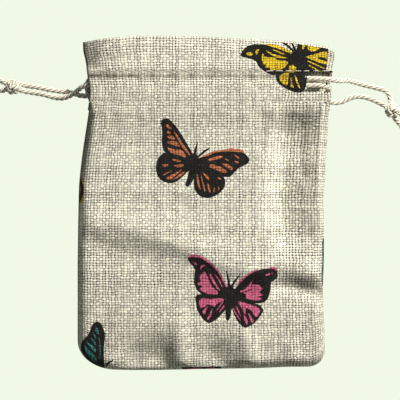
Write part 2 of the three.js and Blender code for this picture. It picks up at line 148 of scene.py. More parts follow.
def weaveGroup():
    tree = bpy.data.node_groups.new("plainWeave", "ShaderNodeTree")
    for name, kind, value in (
        ("Yarn", "NodeSocketColor", (0.5, 0.5, 0.4, 1)),
        ("Gap", "NodeSocketColor", (0.1, 0.1, 0.1, 1)),
        ("Bare Yarn", "NodeSocketColor", (0.5, 0.5, 0.4, 1)),
        ("Uneven", "NodeSocketFloat", 0.5),
        ("Ink Wear", "NodeSocketFloat", 0.0),
    ):
        tree.interface.new_socket(name, in_out="INPUT", socket_type=kind).default_value = value
    outputs = {"Color": "NodeSocketColor", "Roughness": "NodeSocketFloat", "Height": "NodeSocketFloat"}
    for name, kind in outputs.items():
        tree.interface.new_socket(name, in_out="OUTPUT", socket_type=kind)
    start = tree.nodes.new("NodeGroupInput")
    end = tree.nodes.new("NodeGroupOutput")
    threads = tree.nodes.new("ShaderNodeUVMap")
    threads.uv_map = "threads"
    place = tree.nodes.new("ShaderNodeTexCoord")
    # the yarns wander a little
    wander = noiseOf(tree, place.outputs["Object"], 420, 1)
    centred = calcVector(tree, "SUBTRACT", wander.outputs["Color"], (0.5, 0.5, 0.5))
    drift = calcVector(tree, "SCALE", centred, scale=weaveSizes["wander"])
    moved = calcVector(tree, "ADD", threads.outputs[0], drift)
    split = tree.nodes.new("ShaderNodeSeparateXYZ")
    tree.links.new(moved, split.inputs[0])
    number, offset = [], []
    for axis in (0, 1):
        shifted = calc(tree, "ADD", split.outputs[axis], 0.5)
        whole = calc(tree, "FLOOR", shifted)
        number.append(whole)
        chance = tree.nodes.new("ShaderNodeTexWhiteNoise")
        chance.noise_dimensions = "1D"
        tree.links.new(calc(tree, "ADD", whole, 37.0 * axis), chance.inputs["W"])
        slim = rampOf(tree, chance.outputs["Value"], 0.0, 1.0, *weaveSizes["slim"])
        fromMiddle = calc(tree, "SUBTRACT", calc(tree, "SUBTRACT", shifted, whole), 0.5)
        offset.append(calc(tree, "MULTIPLY", fromMiddle, slim))
    parity = calc(tree, "MODULO", calc(tree, "ABSOLUTE", calc(tree, "ADD", number[0], number[1])), 2.0)
    over = calc(tree, "SUBTRACT", calc(tree, "MULTIPLY", parity, 2.0), 1.0)  # 1 where the warp is on top

    def yarnHeight(across, along, sign):
        width = calc(tree, "MULTIPLY", across, across)
        roundness = calc(tree, "SUBTRACT", 1.0, calc(tree, "MULTIPLY", width, 4.3))
        section = calc(tree, "SQRT", calc(tree, "MAXIMUM", roundness, 0.0))
        wave = calc(tree, "COSINE", calc(tree, "MULTIPLY", along, math.pi))
        signed = calc(tree, "MULTIPLY", over, sign)
        rise = calc(tree, "ADD", 0.6, calc(tree, "MULTIPLY", signed, calc(tree, "MULTIPLY", wave, 0.4)))
        return calc(tree, "MULTIPLY", section, rise)

    warp = yarnHeight(offset[0], offset[1], 1.0)
    weft = yarnHeight(offset[1], offset[0], -1.0)
    height = calc(tree, "MAXIMUM", warp, weft)
    onTop = calc(tree, "GREATER_THAN", warp, weft)

    # tone of each yarn, thicker and thinner along its length
    def yarnTone(index, along, stretch, seed):
        joined = tree.nodes.new("ShaderNodeCombineXYZ")
        tree.links.new(calc(tree, "MULTIPLY", index, 7.31), joined.inputs[0])
        tree.links.new(calc(tree, "MULTIPLY", along, stretch), joined.inputs[1])
        joined.inputs[2].default_value = seed
        return noiseOf(tree, joined.outputs[0], 1, 2).outputs[0]

    warpTone = yarnTone(number[0], split.outputs[1], 0.22, 3.0)
    weftTone = yarnTone(number[1], split.outputs[0], 0.22, 11.0)
    below = calc(tree, "SUBTRACT", 1.0, onTop)
    tone = calc(tree, "ADD", calc(tree, "MULTIPLY", warpTone, onTop), calc(tree, "MULTIPLY", weftTone, below))
    fibres = noiseOf(tree, place.outputs["Object"], 5200, 2)
    speck = noiseOf(tree, place.outputs["Object"], 700, 3)
    worn = calc(tree, "MULTIPLY", rampOf(tree, speck.outputs[0], 0.56, 0.72), start.outputs["Ink Wear"])
    yarn = mixColors(tree, worn, start.outputs["Yarn"], start.outputs["Bare Yarn"])
    uneven = calc(tree, "MULTIPLY", start.outputs["Uneven"], 0.34)
    shade = calc(tree, "ADD", calc(tree, "MULTIPLY", rampOf(tree, tone, 0.3, 0.7, -1.0, 1.0), uneven), 1.0)
    shade = calc(tree, "ADD", shade, rampOf(tree, fibres.outputs[0], 0.3, 0.7, -0.12, 0.12))
    # painted shade: yarn where the warp lies on top is painted darker than where the weft does, as the
    # grazing light would shade it
    shade = calc(tree, "ADD", shade, calc(tree, "SUBTRACT", 0.05, calc(tree, "MULTIPLY", onTop, 0.15)))
    grey = mixColors(tree, 1.0, (0, 0, 0, 1), calcVector(tree, "SCALE", (1, 1, 1), scale=shade), "ADD")
    yarn = mixColors(tree, 1.0, yarn, grey, "MULTIPLY")
    # rare darker flecks of seed husk
    husk = noiseOf(tree, place.outputs["Object"], 420, 2)
    huskFrom, huskTo, huskShare = weaveSizes["husk"]
    husks = rampOf(tree, husk.outputs[0], huskFrom, huskTo, 0.0, huskShare)
    yarn = mixColors(tree, husks, yarn, linear(140, 108, 62))
    # painted shade: the dark Gap colour fills the spaces between the yarns, standing in for the shadow in the
    # holes of the weave
    gap = rampOf(tree, height, *weaveSizes["gap"], 1.0, 0.0)
    # painted shade: where creases, the left rim, the header's left end and the dip under the upper stitches
    # fall into shade, the yarn colour is mixed towards a darkened copy by the painted shade mask
    crease = tree.nodes.new("ShaderNodeAttribute")
    crease.attribute_name = "paintedShadeMask"
    deep = mixColors(tree, 1.0, yarn, weaveSizes["paintedShadeTint"], "MULTIPLY")
    yarn = mixColors(tree, crease.outputs["Fac"], yarn, deep)
    final = mixColors(tree, gap, yarn, start.outputs["Gap"])
    tree.links.new(final, end.inputs["Color"])
    tree.links.new(rampOf(tree, height, 0.2, 0.9, 1.0, 0.9), end.inputs["Roughness"])
    rough = calc(tree, "ADD", height, rampOf(tree, fibres.outputs[0], 0.2, 0.8, -0.12, 0.12))
    tree.links.new(rough, end.inputs["Height"])
    return tree


plainWeave = weaveGroup()


def clothMaterial(name, yarn, gap, uneven, inkWear=0.0, bare=(214, 209, 190)):
    material = bpy.data.materials.new(name)
    material.use_nodes = True
    tree = material.node_tree
    shader = tree.nodes["Principled BSDF"]
    weave = tree.nodes.new("ShaderNodeGroup")
    weave.node_tree = plainWeave
    weave.inputs["Yarn"].default_value = linear(*yarn)
    weave.inputs["Gap"].default_value = linear(*gap)
    weave.inputs["Bare Yarn"].default_value = linear(*bare)
    weave.inputs["Uneven"].default_value = uneven
    weave.inputs["Ink Wear"].default_value = inkWear
    bump = bumpOf(tree, weave.outputs["Height"], weaveSizes["bumpStrength"], weaveSizes["bumpHeight"])
    tree.links.new(weave.outputs["Color"], shader.inputs["Base Color"])
    tree.links.new(weave.outputs["Roughness"], shader.inputs["Roughness"])
    tree.links.new(bump, shader.inputs["Normal"])
    shader.inputs["Specular IOR Level"].default_value = 0.12
    shader.inputs["Sheen Weight"].default_value = 0.08
    shader.inputs["Sheen Roughness"].default_value = 0.6
    return material


# each look: yarn colour, painted shade colour for the gaps between yarns, unevenness, ink wear, bare yarn
clothLooks = {
    "linen": clothMaterial("linenCloth", (231, 226, 207), (26, 22, 14), 0.75),
    "black": clothMaterial("blackInk", (30, 28, 25), (13, 12, 11), 0.9, 0.4, (86, 81, 70)),
    "orange": clothMaterial("orangeInk", (188, 114, 78), (44, 22, 14), 0.7, 0.3, (206, 160, 130)),
    "pink": clothMaterial("pinkInk", (212, 102, 136), (64, 24, 36), 0.7, 0.3, (232, 168, 180)),
    "yellow": clothMaterial("yellowInk", (220, 186, 38), (60, 46, 10), 0.7, 0.25, (230, 214, 130)),
    "teal": clothMaterial("tealInk", (58, 124, 118), (14, 36, 34), 0.8, 0.3, (130, 168, 156)),
}
clothOrder = list(clothLooks)


# the pouch's own shape, from the same sizes as its solids
low, high = (np.array(corner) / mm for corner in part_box("cloth_bag"))
pouch = {
    "width": float(high[0] - low[0]),
    "height": float(high[1] - low[1]),
    "cloth": 0.7,
    "header": 12.9,
    "casing": 11.0,
    "backSlip": 1.8,
    "channel": 2.4,
    "mouthGap": 4.4,
    "belly": 9.0,
    "bottom": 7.4,
    "bodyRoll": 4.0,
    "hemRoll": 0.8,
    "edge": 2.6,
    "seam": 6.0,
    "frontCurl": 0.7,
    "backCurl": 2.0,
    "warpPitch": 1.09,
    "weftPitch": 0.94,
    "rightSlack": 4.6,
    "edgeReach": 30,
    "footReach": 24,
    "pressedBack": 0.11,
}
leftInset = [
    [-0.5, 0], [-0.2, 0], [-0.06, 0.2], [0.04, 0.45], [0.12, 1.3], [0.24, 3.4], [0.29, 4.3], [0.33, 4.8],
    [0.392, 3.8], [0.428, 3.1], [0.46, 2.3], [0.5, 2.1],
]
rightInset = [
    [-0.5, 3.3], [-0.43, 3.3], [-0.35, 3.7], [-0.258, 4.1], [-0.15, 3.7], [-0.05, 3.7], [0.01, 4.0],
    [0.07, 3.4], [0.13, 3.1], [0.22, 2.3], [0.3, 1.9], [0.39, 1.2], [0.44, 0], [0.5, 0.2],
]
topDrop = [
    [-0.5, 2.5], [-0.38, 1.0], [-0.24, 0.15], [-0.06, 0.3], [0.2, 1.5], [0.33, 2.2], [0.4, 3.2],
    [0.46, 4.0], [0.5, 5.0],
]
bottomRise = [[-0.5, 0.6], [-0.26, 0], [0, 0.4], [0.14, 0.6], [0.22, 0.8], [0.33, 1.2], [0.5, 1.3]]
leftCorner, rightCorner = (13.4, 10.0), (6.4, 6.2)

topLine = pouch["height"] / 2
bottomLine = -topLine
upperStitch = topLine - pouch["header"]
lowerStitch = upperStitch - pouch["casing"]
casingMiddle = (upperStitch + lowerStitch) / 2
rightEdge = pouch["width"] / 2
hem = 2 * pouch["cloth"]
frontHemTop = hem + pouch["channel"] + pouch["mouthGap"] + hem


def along(pairs, place):
    knots = np.array(pairs, float)
    steps = np.diff(knots[:, 0])
    rises = np.diff(knots[:, 1]) / steps
    product = rises[:-1] * rises[1:]
    total = np.where(product > 0, rises[:-1] + rises[1:], 1)
    slopes = np.concatenate([rises[:1], np.where(product > 0, 2 * product / total, 0), rises[-1:]])
    place = np.clip(place, knots[0, 0], knots[-1, 0])
    k = np.clip(np.searchsorted(knots[:, 0], place, side="right") - 1, 0, len(steps) - 1)
    t = (place - knots[k, 0]) / steps[k]
    bend = t * (1 - t) * steps[k]
    start = knots[k, 1]
    end = knots[k + 1, 1]
    return start + (end - start) * t * t * (3 - 2 * t) + bend * ((1 - t) * slopes[k] - t * slopes[k + 1])


def smoothstep(value, start, end):
    t = np.clip((value - start) / (end - start), 0, 1)
    return t * t * (3 - 2 * t)


def rolled(distance, reach):
    t = 1 - np.clip(distance / reach, 0, 1)
    return np.sqrt(np.maximum(0, 1 - t * t))


def leftX(y):
    return -rightEdge + along(leftInset, y / pouch["height"])


def rightX(y):
    return rightEdge - along(rightInset, y / pouch["height"])


def topY(x):
    return topLine - along(topDrop, x / pouch["width"])


def bottomY(x):
    lift = leftCorner[1] * (1 - rolled(x - leftX(bottomLine), leftCorner[0]))
    lift = lift + rightCorner[1] * (1 - rolled(rightX(bottomLine) - x, rightCorner[0]))
    return bottomLine + along(bottomRise, x / pouch["width"]) + lift


def swell(y, middle):
    t = np.minimum(1, np.abs(y - middle) / (pouch["casing"] / 2))
    return pouch["channel"] * np.where(y < middle, (1 - t * t) ** 1.6, (1 - t ** 2.4) ** 1.2)


def shoulder(y):
    down = np.exp(-((np.maximum(lowerStitch - y, 0) / 9.0) ** 2))
    sewn = 0.06 * np.exp(-(((y - lowerStitch) / 0.55) ** 2))
    return 1.6 * down * (1 - smoothstep(y, lowerStitch, lowerStitch + 4.5)) - sewn


# folds of the front cloth: a line the ridge follows, its height, its reach on each side of the line
folds = [
    ("across", [[-44, -7], [-14, -14], [-2, -18.5], [13, -23], [27, -26.5], [41, -30]], 1.6, 4.4, 7),
    ("up", [[8, 18.5], [17, 22], [27.5, 25.6], [38, 24]], 1.0, 3.2, 4.5),
    ("up", [[-60, 17], [-54, 15.5], [-45, 14]], 0.8, 3.5, 3.5),
    ("up", [[-60, -8], [-52, -10], [-40, -9]], 0.8, 4, 4),
]
# finer creases and gathers, of the cloth alone
creases = [
    ("across", [[24, -29.2], [30, -29.6], [36, -30.8], [46, -32.6]], -3.0, 3.0, 5.0),
    ("across", [[30, -24.4], [36, -25.6], [46, -27.6]], 0.9, 3.0, 6),
    ("across", [[-36, -9.5], [-20, -14.5], [-8, -18.5]], -0.5, 3.5, 2.4),
    ("across", [[18, -2.2], [28, -1.4], [38, -2.6]], 0.22, 1.3, 1.3),
    ("up", [[24, 19.5], [30, 20.6], [36, 19.5]], -0.7, 2.6, 2.2),
    ("up", [[-16, 29.5], [2, 27.5], [20, 28.2], [30.5, 28.8]], -4.8, 4.4, 10.5),
    ("up", [[8, 35], [18, 34], [30, 34.4]], -0.5, 1.8, 2.2),
    ("up", [[-54, 36], [-42, 35], [-30, 35.5]], -0.7, 4, 5),
    ("across", [[-42, -14], [-30, -17.5], [-14, -21.5]], -0.9, 7, 4),
    ("across", [[-30, -57.5], [-20, -56], [-11, -57.5]], -3.0, 3.5, 7.5),
    ("across", [[-3, -57.5], [3, -56], [9, -57.5]], -2.8, 3.5, 7.5),
    ("up", [[-58, -11], [-52, -10], [-44, -9]], 0.9, 3.6, 3.6),
    ("up", [[-58, 31.5], [-54, 31], [-50, 30]], 0.7, 2.8, 2.8),
    ("up", [[-58, 15.5], [-54, 16], [-48, 16]], 0.7, 3.4, 3.0),
]


def foldHeight(fold, x, y):
    runs, line, height, before, after = fold
    place, across = (x, y) if runs == "across" else (y, x)
    side = across - along(line, place)
    reach = np.where(side > 0, after, before)
    fade = (before + after) / 2
    ends = smoothstep(place, line[0][0] - fade, line[0][0] + fade)
    ends = ends * (1 - smoothstep(place, line[-1][0] - fade, line[-1][0] + fade))
    return height * ends * np.exp(-((side / reach) ** 2))


def gathers(x, y):
    depth = 0.16 * np.exp(-((lowerStitch - y) / 9.0) ** 2) * (y < lowerStitch)
    wave = np.sin(x * 1.02 + 0.6 * np.sin(x * 0.31)) + 0.6 * np.sin(x * 0.61 + 1.3)
    soft = 0.09 * np.sin(x * 0.19 + 1.1) * np.sin(y * 0.13 + 0.4) + 0.06 * np.sin(x * 0.33 - y * 0.21)
    return depth * wave + soft


def headerWaves(x, y):
    ends = -3.6 * np.exp(-(((x + 47) / 8) ** 2)) - 0.7 * np.exp(-(((x - 47) / 5) ** 2))
    dents = -0.4 * np.exp(-(((x + 34) / 3) ** 2 + ((y - 51.5) / 3) ** 2))
    dents = dents - 0.35 * np.exp(-(((x + 22) / 3.5) ** 2 + ((y - 54) / 3) ** 2))
    return ends + dents + 0.1 * np.sin(x * 0.42 + y * 0.2) + 0.06 * np.sin(x * 0.83 - y * 0.31)


def frontCrown(x, y):
    belly = [[bottomLine, pouch["bottom"]], [0.72 * bottomLine, pouch["belly"]], [0, pouch["belly"]]]
    body = along([*belly, [lowerStitch, frontHemTop]], y)
    fade = 1 - smoothstep(y, lowerStitch - pouch["seam"], lowerStitch)
    folded = sum(foldHeight(fold, x, y) for fold in folds)
    creased = sum(foldHeight(fold, x, y) for fold in creases) + gathers(x, y)
    header = pouch["frontCurl"] * np.sin(np.pi * smoothstep(y, upperStitch, topLine))
    ridge = 0.7 * np.exp(-(((y - upperStitch - 0.7) / 1.8) ** 2))
    header = header + ridge * smoothstep(y, upperStitch - 1.0, upperStitch + 0.5)
    header = header + smoothstep(y, upperStitch - 0.2, upperStitch + 2.5) * headerWaves(x, y)
    return body + fade * (folded + creased) + header


def backLift(y):
    return pouch["backCurl"] * smoothstep(y, upperStitch - pouch["backSlip"], topLine)


def rollAt(y):
    return along([[lowerStitch - pouch["seam"], pouch["bodyRoll"]], [lowerStitch, pouch["hemRoll"]]], y)


def edgeShare(x, y, inset=0.0):
    reach = rollAt(y) - inset
    sides = rolled(x - leftX(y) - inset, reach) * rolled(rightX(y) - x - inset, reach)
    return sides * rolled(y - bottomY(x) - inset, pouch["bodyRoll"] - inset)


def seamGroove(x, y):
    fromEdge = rightX(y) - x
    place = along([[-60, 0.4], [-36, 0.3], [-8, 0.5], [10, 1.5], [36, 1.9]], y)
    groove = -0.75 * np.exp(-(((fromEdge - place) / 0.42) ** 2))
    ridge = 0.55 * np.exp(-(((fromEdge - place - 1.2) / 0.6) ** 2))
    return (groove + ridge) * (y < lowerStitch + 1)


def frontHeight(x, y):
    full = frontCrown(x, y) + swell(y, casingMiddle) + shoulder(y) - pouch["edge"]
    return pouch["edge"] + full * edgeShare(x, y) + seamGroove(x, y)


def backHeight(x, y):
    return pouch["edge"] + (backLift(y) - pouch["edge"]) * edgeShare(x, y)


# threads: raised where they cross, sunk between
thread = {"seed": 7, "counted": 700, "before": 200, "height": 0.036, "sink": 0.03, "uneven": 0.45}
rng = np.random.default_rng(thread["seed"])
yarnSize = 1 + thread["uneven"] * (rng.random((2, thread["counted"])) - 0.5)


def relief(a, b):
    count = np.arange(thread["counted"]) - thread["before"]
    warp = thread["height"] * np.interp(a, count, yarnSize[0]) * np.cos(2 * np.pi * a)
    weft = thread["height"] * np.interp(b, count, yarnSize[1]) * np.cos(2 * np.pi * b)
    return -thread["sink"] + warp + weft


def normalsOf(points):
    over = np.gradient(points, axis=1)
    up = np.gradient(points, axis=0)
    normal = np.cross(over, up)
    return normal / np.maximum(np.linalg.norm(normal, axis=2, keepdims=True), 1e-9)


def gentle(t):
    t = np.clip(t, 0, 1)
    return 1 - t * t * (3 - 2 * t)


def arcPlaces(span, pitch, reach, rise, bothEnds):
    turn = np.linspace(0, np.pi / 2, 400)
    inward = reach * (1 - np.cos(turn))
    arc = np.concatenate([[0], np.cumsum(np.hypot(np.diff(inward), np.diff(rise * np.sin(turn))))])
    ends = 2 if bothEnds else 1
    total = span - ends * reach + ends * arc[-1]
    count = int(round(total / pitch))
    s = np.arange(count + 1) * total / count
    place = np.where(s < arc[-1], np.interp(s, arc, inward), s - arc[-1] + reach)
    if bothEnds:
        place = np.where(total - s < arc[-1], span - np.interp(total - s, arc, inward), place)
    return place, s


# prints: simple butterflies, points in a 400 by 400 plan of 0.36 mm squares, painted in order
def onPlan(points):
    return np.array([((px - 206) * 0.36, (203.5 - py) * 0.36) for px, py in points])


def strip(points, width):
    line = np.array(points, float)
    ahead = np.gradient(line, axis=0)
    side = np.stack([-ahead[:, 1], ahead[:, 0]], axis=1)
    side = side / np.linalg.norm(side, axis=1, keepdims=True) * width / 2
    taper = np.ones((len(line), 1))
    taper[0], taper[-1] = 0.6, 0.4
    return [tuple(p) for p in np.concatenate([line + side * taper, (line - side * taper)[::-1]])]


def throughFour(a, b, c, d, t):
    bend = (2 * a - 5 * b + 4 * c - d) * t * t
    return 0.5 * (2 * b + (c - a) * t + bend + (3 * b - a - 3 * c + d) * t ** 3)


def softened(points, steps=3):
    loop = [np.array(p, float) for p in points]
    count = len(loop)
    smooth = []
    for k in range(count):
        a, b, c, d = (loop[(k + shift) % count] for shift in (-1, 0, 1, 2))
        for step in range(steps):
            t = step / steps
            smooth.append(throughFour(a, b, c, d, t))
    return smooth


orangeButterfly = [
    ("orange", [(158.5, 157.6), (160.7, 156.2), (167.1, 154), (167.6, 156), (160, 159.4)]),
    ("orange", [(199, 158.6), (205, 155), (212.4, 152), (225.2, 149.5), (231.5, 148.6), (239.8, 149.5),
        (244.5, 152.4), (240, 154), (225, 153), (212, 156)]),
    ("black", [(166.5, 119), (161.4, 121.6), (162.3, 131.1), (162, 142.6), (163.3, 149), (166.5, 153.5),
        (177.3, 156), (186.3, 159.2), (193.9, 159), (193.9, 156), (190.7, 150.3), (185.6, 141.3),
        (180.5, 133), (175.4, 126), (169.7, 120.3)]),
    ("orange", [(165.8, 125.4), (168.4, 124.8), (172.2, 129.9), (167.1, 127.9)]),
    ("orange", [(167, 131.6), (169.9, 131.6), (171.2, 134.2), (167.6, 133.9)]),
    ("orange", [(167.1, 136.6), (172.9, 136.2), (175.4, 140.1), (170.3, 139.4)]),
    ("orange", [(166.5, 142.3), (176, 141.3), (180.5, 147.1), (173.5, 145.8)]),
    ("orange", [(173.2, 131.1), (176, 133), (181.8, 142), (190.7, 155.4), (189.4, 156), (182.4, 147.7),
        (177.3, 138.8)]),
    ("orange", [(167.1, 147.1), (174.1, 149.6), (182.4, 150.3), (186.9, 157.3), (180.5, 156.6),
        (173.5, 154.1), (170.3, 152.8)]),
    ("black", [(189, 159.6), (174.1, 154), (164.6, 153), (158.8, 158.2), (156.3, 165.6), (156.3, 171.3),
        (158.8, 177.7), (163.3, 181.5), (170.3, 183.4), (176.7, 181.5), (182.4, 177.1), (188.2, 171.3),
        (193, 168)]),
    ("orange", [(172.2, 159.2), (180.5, 160.5), (179.9, 162.4), (174.1, 161.1)]),
    ("orange", [(162, 164.9), (167.8, 164.3), (168.4, 166.2), (164, 167)]),
    ("orange", [(173.5, 165.6), (183.1, 164.3), (183.1, 166.8), (176.7, 167.5)]),
    ("orange", strip([(163.3, 175.1), (167, 173.4), (171.6, 170.7)], 1.4)),
    ("orange", [(165.8, 178.3), (176, 172.6), (182.4, 169.4), (170.9, 179.6)]),
    ("orange", [(170.3, 180.9), (178.6, 177.7), (185.6, 171.9), (181.8, 172.6), (176, 177.2)]),
    ("black", [(196.4, 167.6), (193.9, 179), (194.5, 188.5), (198.4, 194.9), (204.7, 197.8),
        (211.1, 197.5), (218.8, 193.6), (223.9, 187.9), (225.2, 182.2), (223.9, 177.7), (217, 171.6),
        (204, 166)]),
    ("orange", [(196.8, 171.9), (199, 180.9), (200.9, 190.4), (199, 188.5), (196.8, 180.9)]),
    ("orange", [(200.9, 174.5), (203.5, 182.2), (205.4, 191.7), (203.5, 189.2), (201.6, 179.6)]),
    ("orange", [(207.3, 182.8), (209.8, 187.3), (210.5, 193), (208.6, 191.7)]),
    ("orange", [(202.2, 171.9), (207.9, 176.4), (209.8, 180.9), (206, 178.3)]),
    ("orange", [(214.3, 187.3), (215, 191.1), (213, 192.4)]),
    ("orange", [(218.1, 186.6), (219.4, 188.5), (218.1, 191.1)]),
    ("orange", [(217.5, 177.1), (221.3, 179), (218.8, 179.6)]),
    ("black", [(198.4, 159.2), (207.9, 156), (215.6, 152.8), (225.2, 151.5), (234.7, 151.9),
        (242.4, 152.8), (246.8, 156), (249.1, 159.8), (246.8, 164.3), (239.8, 167.5), (234.7, 171.9),
        (230.3, 176.4), (224.5, 177.1), (216.2, 173.2), (207.3, 169.4), (199.6, 168.1)]),
    ("orange", [(207.3, 159.8), (215.6, 156.6), (222.6, 156), (222.6, 157.9), (215.6, 159.8),
        (209.2, 161.1)]),
    ("orange", [(208.6, 165.6), (211.1, 164), (218.8, 166.2), (225.2, 169.4), (227.7, 172.6),
        (222.6, 173.2), (216.2, 170), (209.2, 167.5)]),
    ("orange", [(222, 163.7), (227.1, 164), (232.8, 168.1), (231.5, 170.4), (227.1, 168.1)]),
    ("orange", [(233.4, 154.4), (239.2, 157.5), (237.9, 159)]),
    ("orange", [(234.1, 161.1), (238.5, 162), (237.3, 164)]),
    ("orange", strip([(225.2, 159.2), (227, 160), (229, 161.1)], 1.4)),
    ("black", [(190.6, 157), (194.5, 153.2), (198.4, 157), (200, 163), (199, 169), (196.4, 174),
        (192.6, 181.4), (188, 186.6), (185.4, 184.8), (187.6, 177), (189, 170), (189.4, 163)]),
    ("black", [(186.5, 157), (194, 155.4), (200.6, 160), (201, 167), (194, 170.6), (188.4, 165.6)]),
    ("black", strip([(195.2, 156), (195.6, 150.3), (197.4, 143.2)], 2.3)),
    ("black", strip([(197, 158), (204.7, 151.5), (209.6, 148.6)], 2.3)),
]
pinkButterfly = [
    ("pink", [(188.5, 257.6), (190.4, 254.8), (196.3, 253.8), (204.8, 257.4), (210.8, 262),
        (217.3, 268.6), (222.5, 276.4), (228, 288.6), (224, 286), (214, 268), (202, 259)]),
    ("pink", [(236, 285.6), (237, 283), (241, 278.4), (248.8, 272.4), (257.4, 268.4), (256, 271),
        (246, 278)]),
    ("pink", [(268, 268.4), (270.4, 266.2), (274.9, 266.8), (277.4, 270), (275.4, 271)]),
    ("black", [(187.5, 258.5), (193, 256.5), (200.8, 257.8), (207.3, 261.7), (213.8, 266.9),
        (219.7, 274.7), (224.2, 283.8), (228.1, 291.6), (220.3, 296.8), (211.2, 296.8), (202.8, 294.2),
        (197.6, 290.3), (195, 285.1), (194, 279.9), (194.6, 272.8), (195, 268.9), (191.7, 264.3)]),
    ("pink", [(192.7, 261.4), (195.6, 262), (197.6, 265.6), (194.3, 264)]),
    ("pink", [(201.5, 264.3), (206, 265), (202.1, 266.9), (200.8, 269.5), (200.2, 268.2)]),
    ("pink", [(204.7, 270.2), (208, 276), (208.6, 278), (212.5, 286.4), (218.4, 291.6), (217.7, 294.9),
        (211.2, 294.9), (204.7, 292.9), (198.9, 289), (201.5, 287.1), (201.5, 285.1), (197.6, 284.5),
        (197.2, 282.5), (200.8, 281.2), (198.9, 276), (202.1, 272.1)]),
    ("pink", [(209.3, 271.5), (212.5, 276.7), (216.4, 283.8), (220.3, 290.3), (217.1, 289),
        (212.5, 281.9), (209.9, 276.7)]),
    ("pink", strip([(215.1, 274.1), (219, 279.9), (222.3, 287.1)], 1.3)),
    ("black", [(196.9, 294.4), (195.9, 302.1), (196.9, 308.6), (200.8, 315.7), (205.4, 320.9),
        (209.9, 322.2), (215.1, 319.6), (221.6, 313.8), (226.2, 307.3), (228, 297.5), (215, 294.2)]),
    ("pink", [(198.2, 300.1), (201.5, 297.5), (210.6, 298.1), (221.6, 297.5), (225.5, 299.4),
        (221.6, 301.4), (216.4, 304), (215.1, 306.6), (212.5, 305.3), (207.3, 304), (204.1, 306.6),
        (199.5, 307.9), (198.5, 304)]),
    ("pink", [(208.6, 305.3), (206, 309.9), (205, 313.8), (202.8, 313.1), (202.4, 310.5), (206, 306.6)]),
    ("pink", [(212.5, 307.3), (211.9, 313.8), (208.6, 319), (207, 318.3), (209.9, 312.5)]),
    ("pink", strip([(222.9, 301.4), (219.8, 305.6), (216.4, 309.9)], 1.3)),
    ("pink", strip([(224.9, 304), (222, 308), (219, 311.8)], 1.3)),
    ("black", [(232, 300), (232, 308.6), (235.3, 317), (239.2, 322.9), (243.8, 326.8), (249, 325.8),
        (254.8, 321.6), (259.4, 316.4), (263, 309.9), (260.7, 305.9), (256.8, 303.4), (241.8, 300.7),
        (236, 298)]),
    ("pink", [(236.6, 300.1), (242.5, 301.4), (249, 303.4), (256.8, 305.9), (260.7, 309.9),
        (258.1, 316.4), (254.8, 315.7), (251.6, 310.5), (245.7, 307.3), (245.1, 312.5), (243.8, 313.8),
        (240.5, 307.3)]),
    ("pink", [(247.7, 311.8), (253.5, 319.6), (251.6, 322.2), (249.6, 318.3)]),
    ("pink", [(243.8, 313.8), (247.7, 320.9), (246.4, 324.2), (244.4, 320.3)]),
    ("pink", strip([(236, 305.3), (237.9, 309.9), (240.5, 315.7)], 1.3)),
    ("pink", strip([(232.7, 307.3), (236, 313.8), (240.5, 320.3)], 1.3)),
    ("black", [(232, 292.3), (235.3, 287.7), (240.5, 281.9), (248.3, 274.7), (258.1, 269.5),
        (266.5, 268.2), (274.3, 268.9), (277.3, 273.4), (276.3, 278), (271.1, 281.9), (270.4, 286.4),
        (269.1, 294.2), (265.9, 300.1), (260.7, 302.7), (251.6, 302.7), (241.8, 300.7), (234, 296.8)]),
    ("pink", [(238.6, 291), (243.8, 288.4), (248.3, 283.8), (252.2, 278), (251.6, 283.2),
        (258.1, 283.8), (261.3, 285.8), (262.6, 289), (259.4, 291.6), (263.3, 294.9), (257.4, 296.8),
        (262.6, 298.8), (258.1, 300.7), (250.3, 300.1), (245.7, 298.1), (244.4, 293.6)]),
    ("black", strip([(243, 291.7), (247, 290.6), (251.6, 289)], 1.2)),
    ("pink", [(266.5, 272.8), (273, 272.4), (270.4, 273.7), (265.2, 275.4)]),
    ("black", [(224.2, 292), (228, 284.6), (231.8, 285.6), (235, 292), (234.4, 300), (231.6, 309),
        (229, 319), (225.6, 318.4), (225.2, 308), (223.6, 300)]),
    ("black", [(223, 292), (230, 288), (238, 290), (240, 299), (232, 304), (224, 299)]),
    ("black", strip([(228.4, 289), (228.5, 281.2), (226.2, 271)], 2.3)),
    ("black", strip([(230, 289), (234, 281.9), (238.8, 275)], 2.3)),
]
